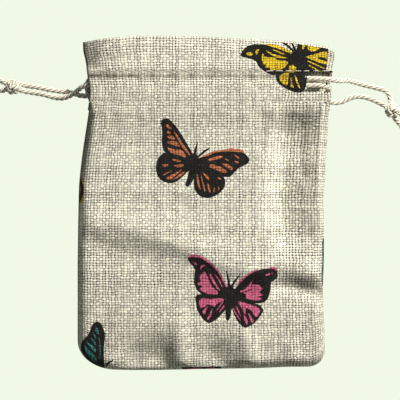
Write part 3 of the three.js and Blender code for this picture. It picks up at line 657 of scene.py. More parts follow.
yellowButterfly = [
    ("yellow", [(264, 46.6), (267.8, 44.6), (275.8, 45.9), (284.2, 49.2), (292.4, 54), (288, 54.6),
        (274, 49)]),
    ("black", [(240.3, 55.9), (242.6, 51.3), (247.9, 46.6), (255.9, 45.3), (264.5, 45.9), (273.1, 48.3),
        (282.4, 51.6), (291, 55.2), (295, 60), (287.7, 67.8), (282.4, 71.8), (275.8, 75.8),
        (269.2, 75.1), (262.5, 71.1), (258.5, 67.8), (255.9, 63.2), (253.2, 60.9), (246.6, 58.9),
        (242, 57.9)]),
    ("yellow", [(245.6, 54.6), (248.6, 52.9), (252.2, 53.9), (251.9, 56.6), (248.6, 56.9)]),
    ("yellow", [(254.6, 52.6), (258.9, 49.6), (256.6, 55.9), (255.2, 53.9)]),
    ("yellow", [(261.2, 53.2), (263.9, 57.2), (271.8, 57.9), (275.8, 58.5), (276.5, 60.5),
        (282.4, 61.2), (288.4, 62.5), (287.1, 66.5), (283.7, 69.8), (278.4, 72.1), (270.5, 71.8),
        (268.5, 68.5), (265.2, 69.5), (264.2, 67.8), (265.2, 65.2), (262.5, 65.2), (260.5, 59.9)]),
    ("yellow", [(265.2, 51.3), (273.1, 55.2), (281.1, 57.2), (287.7, 59.2), (279.1, 59.2),
        (271.8, 56.6), (267.2, 53.9)]),
    ("yellow", strip([(271.8, 50.3), (278.4, 53.2), (285.1, 55.9)], 1.3)),
    ("black", [(275.8, 75.8), (275.5, 79.8), (277.8, 84.4), (283.7, 89), (291, 92.4), (297, 93.7),
        (302.3, 92.4), (305, 87.7), (306, 78.4), (306, 70), (298, 62), (288, 66)]),
    ("yellow", [(278.4, 77.1), (284.4, 73.1), (288.4, 73.8), (287.7, 79.8), (286.4, 87.1),
        (281.8, 85.1), (278.4, 81.1)]),
    ("yellow", [(289.7, 78.4), (291, 79.1), (291.4, 84.4), (293, 89), (289.7, 88.4), (290, 83.7)]),
    ("yellow", [(293.7, 75.8), (295.7, 78.4), (297.7, 85.1), (299.7, 90.4), (297, 87.7), (294.4, 80.4)]),
    ("yellow", [(288.4, 66.5), (295.7, 65.8), (294.4, 73.1), (286.4, 73.1), (288.4, 69.8)]),
    ("yellow", strip([(297.7, 65.8), (300.3, 67.8), (301.3, 71.8)], 1.3)),
    ("black", [(296, 57), (297.4, 43), (301.4, 40), (334, 40), (334, 76), (308, 76.5), (303, 68)]),
    ("yellow", [(302.3, 43), (305.3, 43), (303.6, 49.3), (301.3, 50.3)]),
    ("yellow", [(307.6, 44), (317.6, 44), (321.5, 46.9), (318.9, 49.6), (312.3, 53.2), (306.3, 50.3)]),
    ("yellow", [(304.3, 57.2), (312.3, 55.2), (324.2, 51.9), (328.2, 54.6), (328.5, 60.5),
        (324.9, 59.2), (318.2, 57.9), (318.2, 60.2), (325.5, 62.5), (327.5, 65.2), (322.9, 65.2),
        (314.9, 62.5), (306.3, 59.2)]),
    ("yellow", strip([(307, 61.9), (316, 66), (326.2, 70.5)], 1.4)),
    ("yellow", strip([(307.6, 65.8), (315, 70), (322.9, 73.8)], 1.4)),
    ("black", [(289, 57.5), (293, 52), (298, 49.5), (303, 53), (304.6, 62), (309.4, 74), (306.4, 77),
        (300, 71.5), (291, 64.5)]),
    ("black", strip([(278.8, 42), (285.1, 45.3), (293, 52.6), (295, 56)], 2.3)),
    ("black", strip([(290.7, 42.6), (293, 47.9), (295.4, 55)], 2.3)),
]
tealButterfly = [
    ("black", [(97.7, 321), (101, 322.4), (103.5, 326.6), (105.2, 333.2), (105, 339.9), (104.3, 347.3),
        (104.3, 355.6), (103.9, 372), (97, 371), (91.5, 365), (86.4, 359.6), (82.4, 354), (80.8, 349),
        (81.1, 344), (84, 339), (87.8, 334.9), (90.2, 330.7), (92.3, 325.3), (94.4, 322.4)]),
    ("teal", [(96.9, 326.2), (98.5, 328.2), (99.6, 333.2), (97.7, 333.2), (95.6, 329.5)]),
    ("teal", [(93.1, 331.1), (95.2, 333.6), (96.9, 336.5), (96.7, 339), (94.4, 335.7)]),
    ("teal", [(90.7, 336.5), (94, 339), (96.5, 342.8), (95.6, 344.4), (92.7, 340.3)]),
    ("teal", [(86.5, 339.4), (89.8, 342.8), (94.4, 346.1), (96.5, 348.6), (95.6, 352.7), (92.3, 348.6),
        (88.6, 344.4)]),
    ("teal", [(84, 344.8), (85.7, 345.2), (89.4, 349.8), (93.6, 353.1), (96.9, 358.5), (98.5, 363.5),
        (95.2, 362.2), (89.8, 357.7), (86.1, 352.3)]),
    ("teal", strip([(99.4, 336.5), (100.6, 347.3), (100.2, 359.8)], 1.2)),
    ("black", strip([(106.4, 366.4), (108.5, 362.7), (113.5, 359.5)], 2.0)),
]
edgeBits = [
    ("yellow", [(68, 178), (76, 176.5), (81, 179), (84.4, 185), (85, 192), (83.4, 199), (79, 204.5),
        (70, 205)]),
    ("black", [(68, 181), (76, 179.6), (80, 181.4), (82.4, 186), (82.8, 192), (81.4, 197.6), (77, 202),
        (70, 202)]),
    ("yellow", [(70, 186), (75, 185), (78, 189), (76, 194), (70, 194)]),
    ("black", [(324.2, 242), (328, 238), (337, 240), (337, 284), (330, 287), (326, 284), (323.8, 270),
        (325.2, 256)]),
    ("teal", [(326, 245), (331, 243), (334, 250), (330, 254), (326.4, 252)]),
    ("teal", [(325.6, 257), (331, 257), (333, 265), (328, 268), (325.2, 266)]),
    ("teal", [(327, 272), (332, 271), (332, 278), (328, 281)]),
    ("black", [(180, 368.6), (190, 367.8), (200, 369), (212, 368), (221, 369), (222, 376), (214, 379),
        (186, 379)]),
    ("pink", [(186, 371), (194, 369.6), (203, 370.4), (203, 375), (190, 376)]),
    ("pink", [(207, 371), (215, 370.4), (216, 375), (208, 376)]),
]


# meshes from grids of places, with windows cut afresh along the outlines of the prints
def bilinear(grid, row, column):
    r = np.clip(np.floor(row).astype(int), 0, grid.shape[0] - 2)
    c = np.clip(np.floor(column).astype(int), 0, grid.shape[1] - 2)
    u = column - c
    v = row - r
    if grid.ndim == 3:
        u, v = u[:, None], v[:, None]
    lower = grid[r, c] * (1 - u) + grid[r, c + 1] * u
    upper = grid[r + 1, c] * (1 - u) + grid[r + 1, c + 1] * u
    return lower * (1 - v) + upper * v


def onGrid(flat, targets, rowRange):
    first, last = rowRange
    part = flat[first:last + 1]
    tree = kdtree.KDTree(part.shape[0] * part.shape[1])
    for index, point in enumerate(part.reshape(-1, 2)):
        tree.insert((point[0], point[1], 0), index)
    tree.balance()
    found = np.array([tree.find((x, y, 0))[1] for x, y in targets])
    row = (found // part.shape[1]).astype(float)
    column = (found % part.shape[1]).astype(float)
    for _ in range(6):
        here = bilinear(part, row, column)
        right = bilinear(part, row, column + 0.5)
        left = bilinear(part, row, column - 0.5)
        above = bilinear(part, row + 0.5, column)
        below = bilinear(part, row - 0.5, column)
        du, dv = right - left, above - below
        area = du[:, 0] * dv[:, 1] - du[:, 1] * dv[:, 0]
        area = np.where(np.abs(area) < 1e-6, 1e-6, area)
        gap = targets - here
        column = column + np.clip((gap[:, 0] * dv[:, 1] - gap[:, 1] * dv[:, 0]) / area, -3, 3)
        row = row + np.clip((du[:, 0] * gap[:, 1] - du[:, 1] * gap[:, 0]) / area, -3, 3)
        column = np.clip(column, -6, part.shape[1] + 5)
        row = np.clip(row, -6, part.shape[0] + 5)
    return row + first, column


# painted shade: how darkly to paint the creases, the left rim, the header's left end and the dip under the
# upper stitches, 0 to 1, where shade falls on them
def paintedShadeAmount(x, y, z):
    front = z > pouch["edge"]
    patchy = 0.66 + 0.32 * np.exp(-(((x + 38) / 5) ** 2)) + 0.25 * np.exp(-(((x + 28.5) / 3.6) ** 2))
    patchy = patchy + 0.12 * np.sin(x * 0.9) + 0.1 * np.sin(x * 2.3 + 1)
    wide = 1.2 + 0.25 * np.sin(x * 0.5)
    upper = patchy * np.exp(-(((y - upperStitch + 1.65) / wide) ** 2))
    upper = upper + 0.3 * np.exp(-(((y - upperStitch) / 0.5) ** 2))
    header = (0.5 + 0.12 * np.sin(x * 1.7)) * np.exp(-(((x + 45) / 8) ** 2))
    header = header * smoothstep(y, upperStitch, upperStitch + 2)
    line = along([[26, -27], [33, -28.6], [42, -31.4]], x)
    fold = 0.5 * np.exp(-(((y - line) / 2.0) ** 2)) * smoothstep(x, 24, 38)
    reach = along([[-60, 0.5], [-12, 0.6], [5, 1.1], [20, 2.1], [29, 1.7], [38, 0.8], [60, 0.8]], y)
    rim = 0.92 * np.exp(-(((x - leftX(y)) / reach) ** 2))
    return np.clip(np.where(front, upper + header + fold, 0) + rim, 0, 1)


class Shell:
    def __init__(self):
        self.points, self.threads, self.faces, self.looks = [], [], [], []

    def addPoints(self, points, threads):
        start = len(self.points)
        self.points.extend(map(tuple, points))
        self.threads.extend(map(tuple, threads))
        return start

    def addFace(self, corners, look=0, flip=False):
        self.faces.append(tuple(reversed(corners)) if flip else tuple(corners))
        self.looks.append(look)

    def finish(self, name):
        mesh = bpy.data.meshes.new(name)
        mesh.from_pydata([(x * mm, y * mm, z * mm) for x, y, z in self.points], [], self.faces)
        for key in clothOrder:
            mesh.materials.append(clothLooks[key])
        mesh.polygons.foreach_set("material_index", self.looks)
        mesh.polygons.foreach_set("use_smooth", [True] * len(self.faces))
        layer = mesh.uv_layers.new(name="threads")
        order = np.empty(len(mesh.loops), dtype=np.int32)
        mesh.loops.foreach_get("vertex_index", order)
        layer.data.foreach_set("uv", np.array(self.threads, float)[order].ravel())
        # painted shade: the amount of painted darkness at each point, read by the weave material
        deep = mesh.attributes.new("paintedShadeMask", "FLOAT", "POINT")
        places = np.array(self.points, float)
        deep.data.foreach_set("value", paintedShadeAmount(places[:, 0], places[:, 1], places[:, 2]))
        mesh.update()
        mesh.validate()
        piece = bpy.data.objects.new(name, mesh)
        bpy.context.scene.collection.objects.link(piece)
        return piece


def cornersAt(numbers, r, c):
    return (numbers[r, c], numbers[r, c + 1], numbers[r + 1, c + 1], numbers[r + 1, c])


def insideLoop(loop, x, y):
    found = np.zeros(x.shape, bool)
    for (x0, y0), (x1, y1) in zip(loop, np.roll(loop, -1, axis=0)):
        crosses = (y0 > y) != (y1 > y)
        found ^= crosses & (x < x0 + (y - y0) * (x1 - x0) / (y1 - y0 if y1 != y0 else 1e-9))
    return found


def paintedGrid(shell, base, normal, threads, index, keep, prints, rowRange, flip=False, opened=None):
    windows = []
    for shapes in prints:
        firstBlack = [key for key, _ in shapes].index("black")
        loops = []
        for place, (key, points) in enumerate(shapes):
            loop = onPlan(softened(points))
            if key != "black" and place > firstBlack:
                loop = loop.mean(axis=0) + (loop - loop.mean(axis=0)) * 0.92
            loops.append((key, loop))
        everything = np.concatenate([loop for _, loop in loops])
        rows, columns = onGrid(base[:, :, :2], everything, rowRange)
        top = min(rowRange[1], int(np.ceil(rows.max())) + 1)
        bottom = max(rowRange[0], int(np.floor(rows.min())) - 1)
        left = max(0, int(np.floor(columns.min())) - 1)
        right = min(base.shape[1] - 1, int(np.ceil(columns.max())) + 1)
        windows.append((bottom, top, left, right, loops, rows, columns))
    inWindow = np.zeros(keep.shape, bool)
    for bottom, top, left, right, loops, rows, columns in windows:
        inWindow[bottom:top, left:right] = True
        numbers = [(r, c) for r in range(bottom, top + 1) for c in range(left, right + 1)]
        places = [Vector((float(c), float(r))) for r, c in numbers]
        wide = right - left + 1
        last = len(numbers) - 1
        border = list(range(wide)) + [k * wide + wide - 1 for k in range(1, top - bottom + 1)]
        border += list(range(last - 1, last - wide, -1)) + [k * wide for k in range(top - bottom - 1, 0, -1)]
        polygons, keys, at = [border], [0], 0
        for key, loop in loops:
            start = len(places)
            u, v = columns[at:at + len(loop)], rows[at:at + len(loop)]
            places.extend(Vector((float(a), float(b))) for a, b in zip(u, v))
            turning = float(np.sum(u * np.roll(v, -1) - np.roll(u, -1) * v))
            outline = list(range(start, start + len(loop)))
            polygons.append(outline if turning > 0 else outline[::-1])
            keys.append(clothOrder.index(key))
            at += len(loop)
        made = delaunay_2d_cdt(places, [], polygons, 0, 1e-4, True)
        fresh = np.array([(p.y, p.x) for p in made[0]])
        own = {}
        for k, sources in enumerate(made[3]):
            for source in sources:
                if source < len(numbers):
                    own[k] = index[numbers[source]]
        kept = []
        for face, sources in zip(made[2], made[5]):
            middle = fresh[list(face)].mean(axis=0)
            cell = (int(middle[0]), int(middle[1]))
            if 0 in sources and cell[0] < keep.shape[0] and cell[1] < keep.shape[1] and keep[cell]:
                kept.append((face, keys[max(sources)]))
        used = {k for face, _ in kept for k in face}
        others = sorted(k for k in used if k not in own)
        rowsNew, columnsNew = fresh[others, 0], fresh[others, 1]
        counts = bilinear(threads, rowsNew, columnsNew)
        place = bilinear(base, rowsNew, columnsNew)
        out = bilinear(normal, rowsNew, columnsNew)
        lift = relief(counts[:, 0], counts[:, 1]) * counts[:, 2]
        start = shell.addPoints(place + out * lift[:, None], counts[:, :2])
        for k, number in enumerate(others):
            own[number] = start + k
        for face, look in kept:
            corners = [own[k] for k in face]
            if len(set(corners)) == 3:
                shell.addFace(corners, look, flip)
    looks = np.zeros(keep.shape, int)
    for key, points in edgeBits if opened is not None else []:
        middle = (opened[:-1, :-1] + opened[1:, 1:]) / 2
        looks[insideLoop(onPlan(points), middle[..., 0], middle[..., 1])] = clothOrder.index(key)
    for r in range(keep.shape[0]):
        for c in range(keep.shape[1]):
            if keep[r, c] and not inWindow[r, c]:
                shell.addFace(cornersAt(index, r, c), int(looks[r, c]), flip)


# body: front and back faces meet at the edges, with a plain lining inside
def bodyPlaces(across, upward, topRow):
    xr = across[None, :] - rightEdge
    yr = upward[:, None] + bottomLine
    farRight = rightEdge - pouch["rightSlack"]
    wide, tall = pouch["edgeReach"], pouch["footReach"]
    xb = xr + (leftX(bottomLine) + rightEdge) * gentle((xr + rightEdge) / wide)
    xb = xb + (rightX(bottomLine) - farRight) * gentle((farRight - xr) / wide)
    y = yr + (bottomY(xb) - bottomLine) * gentle((yr - bottomLine) / tall)
    y = np.minimum(y, topRow)
    x = xr + (leftX(y) + rightEdge) * gentle((xr + rightEdge) / wide)
    x = x + (rightX(y) - farRight) * gentle((farRight - xr) / wide)
    return x, y


sideRise, footRise = 6.4, 4.8  # mean height of the cloth inside the rolled sides and foot
bodySpan = pouch["width"] - pouch["rightSlack"]
acrossBody, acrossArc = arcPlaces(bodySpan, pouch["warpPitch"] / 2, pouch["bodyRoll"], sideRise, True)
bodyLong = lowerStitch - bottomLine
upBody, upArc = arcPlaces(bodyLong, pouch["weftPitch"] / 2, pouch["bodyRoll"], footRise, False)
warpNumber = acrossArc / pouch["warpPitch"]
weftNumber = upArc / pouch["weftPitch"]


def wander(x, y, threads):
    phase = rng.random(400) * 6.28
    shift = 0.07 * np.sin(y * 0.37 + phase[np.round(threads[..., 0]).astype(int) % 400])
    return x + shift * threads[..., 2]


def openedFlat(x, y):
    reach = pouch["bodyRoll"]
    side = np.interp(reach, acrossBody, acrossArc)  # cloth that goes into one rolled side edge
    foot = np.interp(reach, upBody, upArc)
    back = acrossArc[-1] - acrossArc
    flatX = np.where(acrossArc < side, leftX(y) + reach - side + acrossArc, x)
    flatX = np.where(back < side, rightX(y) - reach + side - back, flatX)
    flatY = np.where(upArc[:, None] < foot, bottomY(x) + reach - foot + upArc[:, None], y)
    return np.stack([flatX, flatY], axis=2)


def makeBody():
    shell = Shell()
    grids = {}
    for side in ("front", "back"):
        slip = 0 if side == "front" else pouch["backSlip"]
        stretch = (lowerStitch - slip - bottomLine) / (lowerStitch - bottomLine)
        x, y = bodyPlaces(acrossBody, upBody * stretch, lowerStitch - slip)
        share = edgeShare(x, y)
        fade = np.clip(share * 3, 0, 1)
        threads = np.stack(np.broadcast_arrays(warpNumber[None, :], weftNumber[:, None], fade), axis=2)
        x = wander(x, y, threads) if side == "front" else x
        z = frontHeight(x, y) if side == "front" else backHeight(x, y)
        base = np.stack([x, y, z], axis=2)
        normal = normalsOf(base) * (1 if side == "front" else -1)
        lift = relief(threads[..., 0], threads[..., 1]) * fade
        if side == "back":
            lift = lift - pouch["pressedBack"] * fade
            base[..., 2] = np.maximum(base[..., 2], 0)
        points = base + normal * lift[..., None]
        grids[side] = (base, normal, threads, points)
    rows, columns = grids["front"][0].shape[:2]
    index = {}
    threads, points = grids["front"][2:]
    shell.addPoints(points.reshape(-1, 3), threads.reshape(-1, 3)[:, :2])
    index["front"] = np.arange(rows * columns).reshape(rows, columns)
    # the back shares the front's points along the outline, up to where the slit starts
    threads, points = grids["back"][2:]
    slit = int(np.searchsorted(grids["front"][0][:, 5, 1], lowerStitch - pouch["backSlip"] - 1.2))
    index["back"] = np.full((rows, columns), -1)
    index["back"][0] = index["front"][0]
    index["back"][:slit, 0] = index["front"][:slit, 0]
    index["back"][:slit, -1] = index["front"][:slit, -1]
    fresh = index["back"] < 0
    start = shell.addPoints(points[fresh], threads[fresh][:, :2])
    index["back"][fresh] = start + np.arange(fresh.sum())
    keep = np.ones((rows - 1, columns - 1), bool)
    everyRow = (0, rows - 1)
    prints = [orangeButterfly, pinkButterfly, tealButterfly]
    base = grids["front"][0]
    opened = openedFlat(base[..., 0], base[..., 1])
    paintedGrid(shell, *grids["front"][:3], index["front"], keep, prints, everyRow, opened=opened)
    paintedGrid(shell, *grids["back"][:3], index["back"], keep, [], everyRow, flip=True)
    # lining, a cloth's thickness inside
    inset = pouch["cloth"]
    liningStep = 9
    every = np.unique(np.concatenate([np.arange(0, rows, liningStep), [rows - 1]]))
    lining = {}
    for side in ("front", "back"):
        base = grids[side][0][every]
        x, y = base[..., 0], base[..., 1]
        middle = (leftX(y) + rightX(y)) / 2
        half = (rightX(y) - leftX(y)) / 2
        x = middle + (x - middle) * (half - inset) / half
        foot = bottomY(x)
        y = np.maximum(y, foot + inset + 0.02)
        share = edgeShare(x, y, inset)
        full = frontCrown(x, y) - inset if side == "front" else backLift(y) + inset
        z = pouch["edge"] + (full - pouch["edge"]) * share
        points = np.stack([x, y, z], axis=2)
        threads = grids[side][2][every]
        start = shell.addPoints(points.reshape(-1, 3), threads.reshape(-1, 3)[:, :2])
        lining[side] = start + np.arange(len(every) * columns).reshape(len(every), columns)
    lining["back"][0] = lining["front"][0]
    slitRow = int(np.searchsorted(every, slit))
    lining["back"][:slitRow, 0] = lining["front"][:slitRow, 0]
    lining["back"][:slitRow, -1] = lining["front"][:slitRow, -1]
    for side, flip in (("front", True), ("back", False)):
        numbers = lining[side]
        for r in range(numbers.shape[0] - 1):
            for c in range(columns - 1):
                shell.addFace(cornersAt(numbers, r, c), 0, flip)
        outer = index[side][-1]
        for c in range(columns - 1):
            shell.addFace((outer[c], outer[c + 1], numbers[-1, c + 1], numbers[-1, c]), 0, side == "back")
    piece = shell.finish("pouchBody")
    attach(piece, "root")
    return piece


pouchBody = makeBody()
print("stage: body,", len(pouchBody.data.polygons), "faces")


# casings with their headers: one doubled sheet at the front and one at the back
slits = {
    "frontMouth": 10.9,
    "frontFrom": 39.7,
    "frontTo": 46.9,
    "leftNotch": 3.4,
    "rightNotch": 4.1,
    "rightFrom": 38.1,
    "rightTo": 43.7,
}


def casingColumns(y, farRight):
    middle = (acrossBody > 8) & (acrossBody < pouch["width"] - 14)
    flat = acrossBody[middle] - rightEdge
    step = pouch["warpPitch"] / 2
    leftRef, rightRef = leftX(casingMiddle), rightX(casingMiddle)
    lower = np.arange(flat[0] - step, leftRef + step * 0.6, -step)[::-1]
    upper = np.arange(flat[-1] + step, rightRef - step * 0.6, step)
    xr = np.concatenate([[leftRef], lower, flat, upper, [rightRef]])
    number = np.interp(xr, flat, warpNumber[middle])
    number = np.where(xr < flat[0], number - (flat[0] - xr) / pouch["warpPitch"], number)
    number = np.where(xr > flat[-1], number + (xr - flat[-1]) / pouch["warpPitch"], number)
    xr = xr[None, :]
    x = xr + (leftX(y) - leftRef) * gentle((xr - leftRef) / pouch["edgeReach"])
    x = x + (farRight(y) - rightRef) * gentle((rightRef - xr) / pouch["edgeReach"])
    return x, number


def sheetRows(isFront):
    step = pouch["weftPitch"] / 2
    slip = 0 if isFront else pouch["backSlip"]
    lowY, midY = lowerStitch - slip, upperStitch - slip
    deepFacing = np.arange(lowY - 3, midY, step)
    header = np.linspace(0, 1, int(round((topLine - pouch["cloth"] - midY) / step)) + 1)
    turn = np.linspace(0, np.pi, 6)[1:-1]
    y = np.linspace(midY, lowY, 400)
    z = swell(y, casingMiddle - slip)
    arc = np.concatenate([[0], np.cumsum(np.hypot(np.diff(y), np.diff(z)))])
    casing = np.interp(np.linspace(0, arc[-1], int(round(arc[-1] / step)) + 1), arc, y)
    rows = [("facing", value) for value in deepFacing]
    rows += [("facingTop", value) for value in header]
    rows += [("fold", value) for value in turn]
    rows += [("header", value) for value in header[::-1]]
    rows += [("casing", value) for value in casing[1:]]
    return rows


def makeCasing(name, isFront):
    rows = sheetRows(isFront)
    slip = 0 if isFront else pouch["backSlip"]
    lowY, midY, middle = lowerStitch - slip, upperStitch - slip, casingMiddle - slip
    thick = pouch["cloth"]

    def farRight(y):
        if not isFront:
            return rightX(y)
        trim = rightEdge - 3.5 + 1.4 * np.clip((y - upperStitch) / pouch["header"], 0, 1)
        return np.where(y > upperStitch + 0.05, np.minimum(rightX(y), trim), rightX(y))

    def layer(kind, value, x0, inner):
        top = topY(x0)
        bend = 0.0 if inner else thick
        if kind == "fold":
            y = top - thick + bend * np.sin(value)
            crown = frontCrown(x0, top) - thick if isFront else backLift(top) + thick
            return y, crown - bend * np.cos(value) * (1 if isFront else -1)
        if kind in ("facing", "casing"):
            y = np.full_like(x0, value)
        else:
            y = midY + (top - thick - midY) * value
        outerCloth = kind in ("header", "casing")
        bulge = swell(y, middle)
        bulge = np.where((y < lowY) | (y > midY), 0, bulge)
        if isFront:
            crown = frontCrown(x0, y)
            if kind == "facing":
                crown = np.full_like(x0, frontHemTop)
            if outerCloth:
                return y, crown + bulge + shoulder(y) - (thick if inner else 0)
            return y, crown - thick - (0 if inner else thick)
        floor = backLift(y)
        if outerCloth:
            return y, floor + (thick if inner else 0)
        return y, floor + thick + bulge + (0 if inner else thick)

    guess, number = casingColumns(np.full((1, 1), casingMiddle), farRight)
    outer, inner = [], []
    for kind, value in rows:
        x0 = guess[0]
        for inside, store in ((False, outer), (True, inner)):
            y, z = layer(kind, value, x0, inside)
            x = casingColumns(y[None, :], farRight)[0][0]
            y, z = layer(kind, value, x, inside)
            store.append(np.stack([x, y, z], axis=1))
    outer, inner = np.array(outer), np.array(inner)
    kinds = [kind for kind, _ in rows]
    steps = np.linalg.norm(np.diff(outer[:, outer.shape[1] // 2], axis=0), axis=1)
    run = np.concatenate([[0], np.cumsum(steps)])
    weft = weftNumber[-1] + (run.max() - run) / pouch["weftPitch"]
    sideFade = np.ones(outer.shape[:2])
    threads = np.stack(np.broadcast_arrays(number[None, :], weft[:, None], sideFade), axis=2)
    normal = normalsOf(outer)
    flipOuter = bool(normal[kinds.index("casing") + 4, 40, 2] * (1 if isFront else -1) < 0)
    if flipOuter:
        normal = -normal
    lift = relief(threads[..., 0], threads[..., 1])
    if not isFront:
        lift = lift - pouch["pressedBack"]
    points = outer + normal * lift[..., None]
    if not isFront:
        for row in (lowY, midY):
            points[..., 2] += 0.42 * np.exp(-(((points[..., 1] - row) / 0.55) ** 2)) * (points[..., 2] < 2)
        points[..., 2] = np.maximum(points[..., 2], 0.0)
    count, columns = outer.shape[:2]
    keep = np.ones((count - 1, columns - 1), bool)
    centre = (outer[:-1, :-1] + outer[1:, 1:]) / 2
    isOuter = np.array([kind in ("header", "casing") for kind in kinds])[:-1, None]
    isFacing = np.array([kind in ("facing", "facingTop") for kind in kinds])[:-1, None]
    cx, cy = centre[..., 0], centre[..., 1]
    if isFront:
        mouth = rightEdge - slits["frontMouth"] + 0.9 * np.sin((cy - 39.6) / 7.2 * np.pi) - 0.4
        keep &= ~(isOuter & (cx > mouth) & (cy > slits["frontFrom"]) & (cy < slits["frontTo"]))
    lowNotch, highNotch = casingMiddle - 4.6 - 1.2, casingMiddle + 2.6 + 1.2
    leftEnd, rightEnd = leftX(casingMiddle) + slits["leftNotch"], rightX(casingMiddle) - slits["rightNotch"]
    keep &= ~(isFacing & (cx < leftEnd) & (cy > lowNotch) & (cy < highNotch))
    keep &= ~(isFacing & (cx > rightEnd) & (cy > slits["rightFrom"]) & (cy < slits["rightTo"]))
    shell = Shell()
    shell.addPoints(points.reshape(-1, 3), threads.reshape(-1, 3)[:, :2])
    index = np.arange(count * columns).reshape(count, columns)
    start = shell.addPoints(inner.reshape(-1, 3), threads.reshape(-1, 3)[:, :2])
    hidden = start + np.arange(count * columns).reshape(count, columns)
    firstOuter = kinds.index("header")
    prints = [yellowButterfly] if isFront else []
    paintedGrid(shell, outer, normal, threads, index, keep, prints, (firstOuter, count - 1), flipOuter)
    for r in range(count - 1):
        for c in range(columns - 1):
            if not keep[r, c]:
                continue
            shell.addFace(cornersAt(hidden, r, c), 0, not flipOuter)
            for dr, dc, a, b in ((-1, 0, (r, c), (r, c + 1)), (1, 0, (r + 1, c + 1), (r + 1, c)),
                                 (0, -1, (r + 1, c), (r, c)), (0, 1, (r, c + 1), (r + 1, c + 1))):
                rr, cc = r + dr, c + dc
                inside = 0 <= rr < count - 1 and 0 <= cc < columns - 1
                if not inside or not keep[rr, cc]:
                    shell.addFace((index[b], index[a], hidden[a], hidden[b]), 0, flipOuter)
    piece = shell.finish(name)
    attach(piece, "root")
    return piece, points, kinds


frontCasing, frontPoints, frontKinds = makeCasing("frontCasing", True)
backCasing, backPoints, backKinds = makeCasing("backCasing", False)
for sheet in (pouchBody, frontCasing, backCasing):
    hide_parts("cloth_bag")
print("stage: casings,", len(frontCasing.data.polygons), len(backCasing.data.polygons), "faces")


# geometry node helpers
def startTree(name, inputs):
    tree = bpy.data.node_groups.new(name, "GeometryNodeTree")
    tree.interface.new_socket("Geometry", in_out="INPUT", socket_type="NodeSocketGeometry")
    for label, kind, value in inputs:
        socket = tree.interface.new_socket(label, in_out="INPUT", socket_type=kind)
        if value is not None:
            socket.default_value = value
    tree.interface.new_socket("Geometry", in_out="OUTPUT", socket_type="NodeSocketGeometry")
    return tree, tree.nodes.new("NodeGroupInput"), tree.nodes.new("NodeGroupOutput")


def finishTree(tree, geometry, material, end):
    realize = tree.nodes.new("GeometryNodeRealizeInstances")
    paint = tree.nodes.new("GeometryNodeSetMaterial")
    tree.links.new(geometry, realize.inputs[0])
    tree.links.new(realize.outputs[0], paint.inputs["Geometry"])
    tree.links.new(material, paint.inputs["Material"])
    tree.links.new(paint.outputs[0], end.inputs[0])


def throughTree(name, tree, lines, values):
    points, edges = [], []
    for line in lines:
        start = len(points)
        points.extend((x * mm, y * mm, z * mm) for x, y, z in line)
        edges.extend((start + k, start + k + 1) for k in range(len(line) - 1))
    mesh = bpy.data.meshes.new(name + "Line")
    mesh.from_pydata(points, edges, [])
    holder = bpy.data.objects.new(name + "Line", mesh)
    bpy.context.scene.collection.objects.link(holder)
    modifier = holder.modifiers.new("made", "NODES")
    modifier.node_group = tree
    for item in tree.interface.items_tree:
        if item.item_type == "SOCKET" and item.in_out == "INPUT" and item.name in values:
            modifier[item.identifier] = values[item.name]
    view = bpy.context.evaluated_depsgraph_get()
    made = bpy.data.meshes.new_from_object(holder.evaluated_get(view))
    made.name = name
    holder.modifiers.clear()
    bpy.data.objects.remove(holder)
    bpy.data.meshes.remove(mesh)
    made.polygons.foreach_set("use_smooth", [True] * len(made.polygons))
    piece = bpy.data.objects.new(name, made)
    bpy.context.scene.collection.objects.link(piece)
    return piece


# cotton cord: three plies laid up left-handed
def fibreMaterial(name, color, shadow, scale, bumpSize, grooved=False):
    material = bpy.data.materials.new(name)
    material.use_nodes = True
    tree = material.node_tree
    shader = tree.nodes["Principled BSDF"]
    place = tree.nodes.new("ShaderNodeTexCoord")
    fine = noiseOf(tree, place.outputs["Object"], scale, 4)
    wide = noiseOf(tree, place.outputs["Object"], scale / 9, 2)
    fineShare = calc(tree, "MULTIPLY", fine.outputs[0], 0.6)
    mixed = calc(tree, "ADD", fineShare, calc(tree, "MULTIPLY", wide.outputs[0], 0.4))
    tint = mixColors(tree, rampOf(tree, mixed, 0.34, 0.6), linear(*shadow), linear(*color))
    if grooved:
        crown = tree.nodes.new("ShaderNodeAttribute")
        crown.attribute_name = "crown"
        # painted shade: the grooves between the plies are painted a darker brown
        grooveShade = rampOf(tree, crown.outputs["Fac"], 0.62, 0.95, 0.85, 0.0)
        tint = mixColors(tree, grooveShade, tint, linear(112, 100, 76))
    tree.links.new(tint, shader.inputs["Base Color"])
    tree.links.new(bumpOf(tree, fine.outputs[0], 0.6, bumpSize), shader.inputs["Normal"])
    tree.links.new(rampOf(tree, mixed, 0.3, 0.7, 0.96, 0.86), shader.inputs["Roughness"])
    shader.inputs["Specular IOR Level"].default_value = 0.15
    shader.inputs["Sheen Weight"].default_value = 0.2
    shader.inputs["Sheen Roughness"].default_value = 0.5
    return material


cottonCord = fibreMaterial("cottonCord", (242, 237, 220), (216, 209, 188), 3600, 0.0001, True)
sewingThread = fibreMaterial("sewingThread", (224, 218, 200), (188, 182, 162), 5200, 0.00004)

cordSizes = {"diameter": 1.8, "plies": 3, "lay": 5.8, "plyRadius": 0.48, "plyOffset": 0.5, "step": 0.3}


